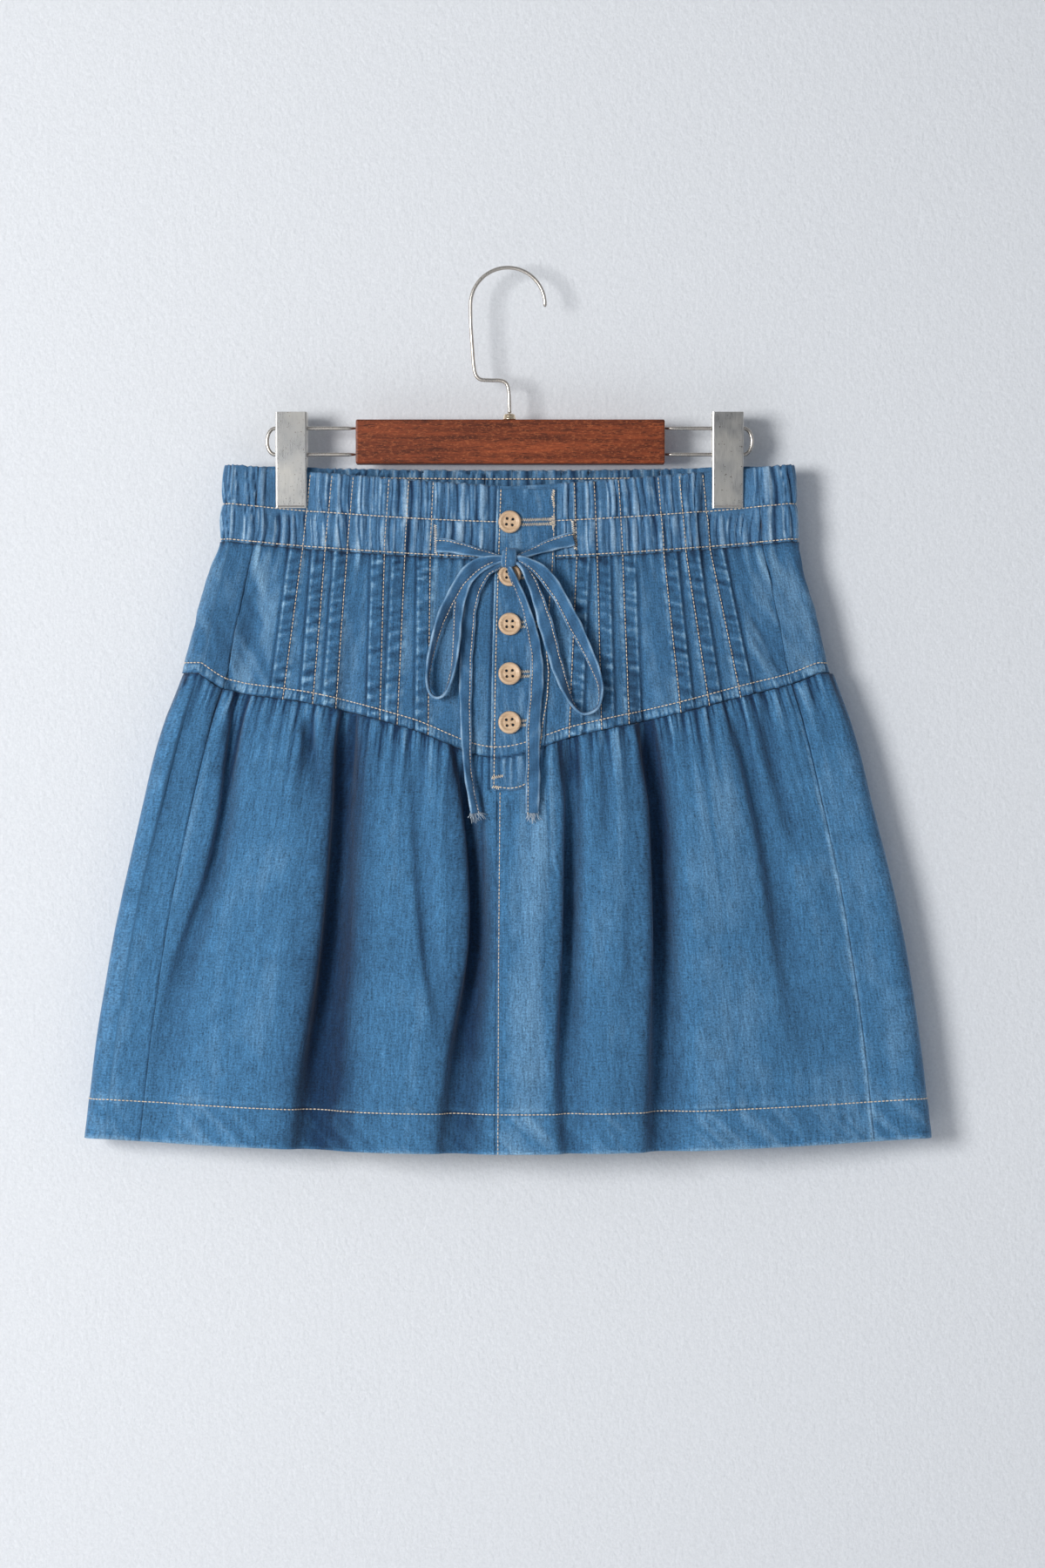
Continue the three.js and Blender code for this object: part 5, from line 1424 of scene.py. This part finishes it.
def clip_half(name, replaced, x, facing):
    """Half a clip: a flat pressed plate that leans in to its jaw, with a shallow flange down each side."""
    half, round_, rows = CLIP_WIDE / 2, 1.1, []
    for z in np.linspace(CLIP_TOP, CLIP_BOTTOM, 9):
        down = (CLIP_TOP - z) / (CLIP_TOP - CLIP_BOTTOM)
        out = CLIP_OUT + (CLIP_LIP + CLIP_PLATE - CLIP_OUT) * down
        depth = FLANGE_DEPTH[0] + (FLANGE_DEPTH[1] - FLANGE_DEPTH[0]) * ease((down - 0.35) / 0.4)
        corner = (half - 0.3 * round_, out - 0.3 * round_)
        side = [(half, out - depth), (half, out - round_), corner, (half - round_, out)]
        row = [(-u, v) for u, v in side] + [(0, out)] + side[::-1]
        rows.append([(x + u, facing * v, z) for u, v in row])
    n = len(rows[0])
    starts = [i * n + k for i in range(len(rows) - 1) for k in range(n - 1)]
    faces = [(a, a + 1, a + n + 1, a + n) for a in starts]
    if facing > 0:
        faces = [face[::-1] for face in faces]
    piece = make_piece(name, rows, faces, CLIP_SHEET, smooth=False)
    wall = piece.modifiers.new("sheet", "SOLIDIFY")
    wall.thickness, wall.offset, wall.use_even_offset = CLIP_PLATE * MM, 1, True
    edge = piece.modifiers.new("edge", "BEVEL")
    edge.width, edge.segments, edge.limit_method, edge.angle_limit = 0.22 * MM, 2, "ANGLE", math.radians(50)
    return settle(piece, "clip", replaced)


for name, side in (("left", -1), ("right", 1)):
    x = side * CLIP_X
    for half, facing in (("front", -1), ("back", 1)):
        clip_half(f"clip_{name}_{half}_sheet", f"clip_{name}_{half}", x, facing)
        near, far = sorted((facing * CLIP_LIP, facing * (CLIP_LIP + JAW_THICK)))
        low, high = (x - JAW_HALF, near, CLIP_BOTTOM + 0.5), (x + JAW_HALF, far, CLIP_JAW)
        solid_box(f"clip_{name}_{half}_jaw", low, high, 0.3, JAW_RUBBER, "clip")
    coil = []
    for t in np.linspace(0, 1, 144):
        turn = 2 * math.pi * COIL_TURNS * t
        out, up = COIL_RADIUS * math.cos(turn), COIL_RADIUS * math.sin(turn)
        coil.append((x + COIL_REACH * (2 * t - 1), out, COIL_Z + up))
    round_runs(f"clip_{name}_spring_coil", [coil], 0.75, WIRE_NICKEL, "wire", f"clip_{name}_spring", sides=8)


# ---------------------------------------------------------------- Camera, light and wall
# A long lens looks straight at the skirt's front. The wall is pale plaster, lit softly from the upper left.
CENTRE = Vector((0.00825, 0, -0.3267))
DISTANCE = 2.6
SEEN_HIGH = 0.99
camera_data = bpy.data.cameras.new("camera")
camera_data.sensor_width = 36
camera_data.lens = 36 * DISTANCE / SEEN_HIGH
camera = new_object("camera", camera_data)
camera.location = CENTRE + Vector((0, -DISTANCE - 0.015, 0))
camera.rotation_euler = (math.pi / 2, 0, 0)
bpy.context.scene.camera = camera

WALL_Y = 0.0228


def pale_wall():
    """Pale plaster, which lets shadow rays and the view from behind through."""
    material, tree, shader = new_material("pale_wall", {"Roughness": 0.85})
    position = object_place(tree)
    mottle = ranged(tree, noise(tree, position, 520, 4, 0.7), 0.3, 0.7, 0, 1)
    feed(tree, shader, {"Base Color": mixed(tree, mottle, (0.605, 0.62, 0.64, 1), (0.685, 0.70, 0.72, 1))})
    bumped(tree, shader, noise(tree, stretched(tree, position, (330, 330, 260)), 1, 3), 0.7, 0.7)
    facing = node(tree, "ShaderNodeNewGeometry").outputs["Backfacing"]
    shadows = node(tree, "ShaderNodeLightPath").outputs["Is Shadow Ray"]
    clear = node(tree, "ShaderNodeBsdfTransparent").outputs[0]
    unseen = math_node(tree, "MAXIMUM", facing, shadows)
    sides = node(tree, "ShaderNodeMixShader", {0: unseen, 1: shader.outputs[0], 2: clear})
    feed(tree, tree.nodes["Material Output"], {"Surface": sides.outputs[0]})
    return material


def flat_stage(name, corners, material):
    """A plain four-cornered backdrop, which isn't part of the object."""
    mesh = bpy.data.meshes.new(name)
    mesh.from_pydata(corners, [], [(0, 1, 2, 3)])
    mesh.materials.append(material)
    new_object(name, mesh)


FLOOR_Z = -1.6
flat_stage(
    "wall", [(-3, WALL_Y, FLOOR_Z), (3, WALL_Y, FLOOR_Z), (3, WALL_Y, 2.2), (-3, WALL_Y, 2.2)], pale_wall()
)
pale_floor = new_material("pale_floor", {"Base Color": (0.78, 0.79, 0.81, 1)})[0]
flat_stage("floor", [(-6, -6, FLOOR_Z), (6, -6, FLOOR_Z), (6, 6, FLOOR_Z), (-6, 6, FLOOR_Z)], pale_floor)


def soft_light(name, place, size, power, color=(1, 1, 1)):
    data = bpy.data.lights.new(name, "AREA")
    data.shape = "DISK"
    data.size = size
    data.energy = power
    data.color = color
    lamp = new_object(name, data)
    lamp.location = place
    lamp.rotation_euler = (CENTRE - Vector(place)).to_track_quat("-Z", "Y").to_euler()


soft_light("key", (-1.75, -2.4, -0.05), 1.1, 79)
soft_light("card", (-0.75, -2.7, 0.1), 0.9, 4)
soft_light("fill", (2.4, -2.2, 0.2), 2.2, 5, (0.94, 0.97, 1))
soft_light("back_left", (-1.3, 2.5, 0.6), 1.4, 34)
soft_light("back_right", (1.4, 2.4, 0.2), 1.4, 18)
bpy.context.scene.view_settings.view_transform = "Standard"
world = bpy.context.scene.world or bpy.data.worlds.new("world")
bpy.context.scene.world = world
world.use_nodes = True
world.node_tree.nodes["Background"].inputs["Color"].default_value = (0.85, 0.9, 1, 1)
world.node_tree.nodes["Background"].inputs["Strength"].default_value = 0.28

bpy.context.view_layer.update()
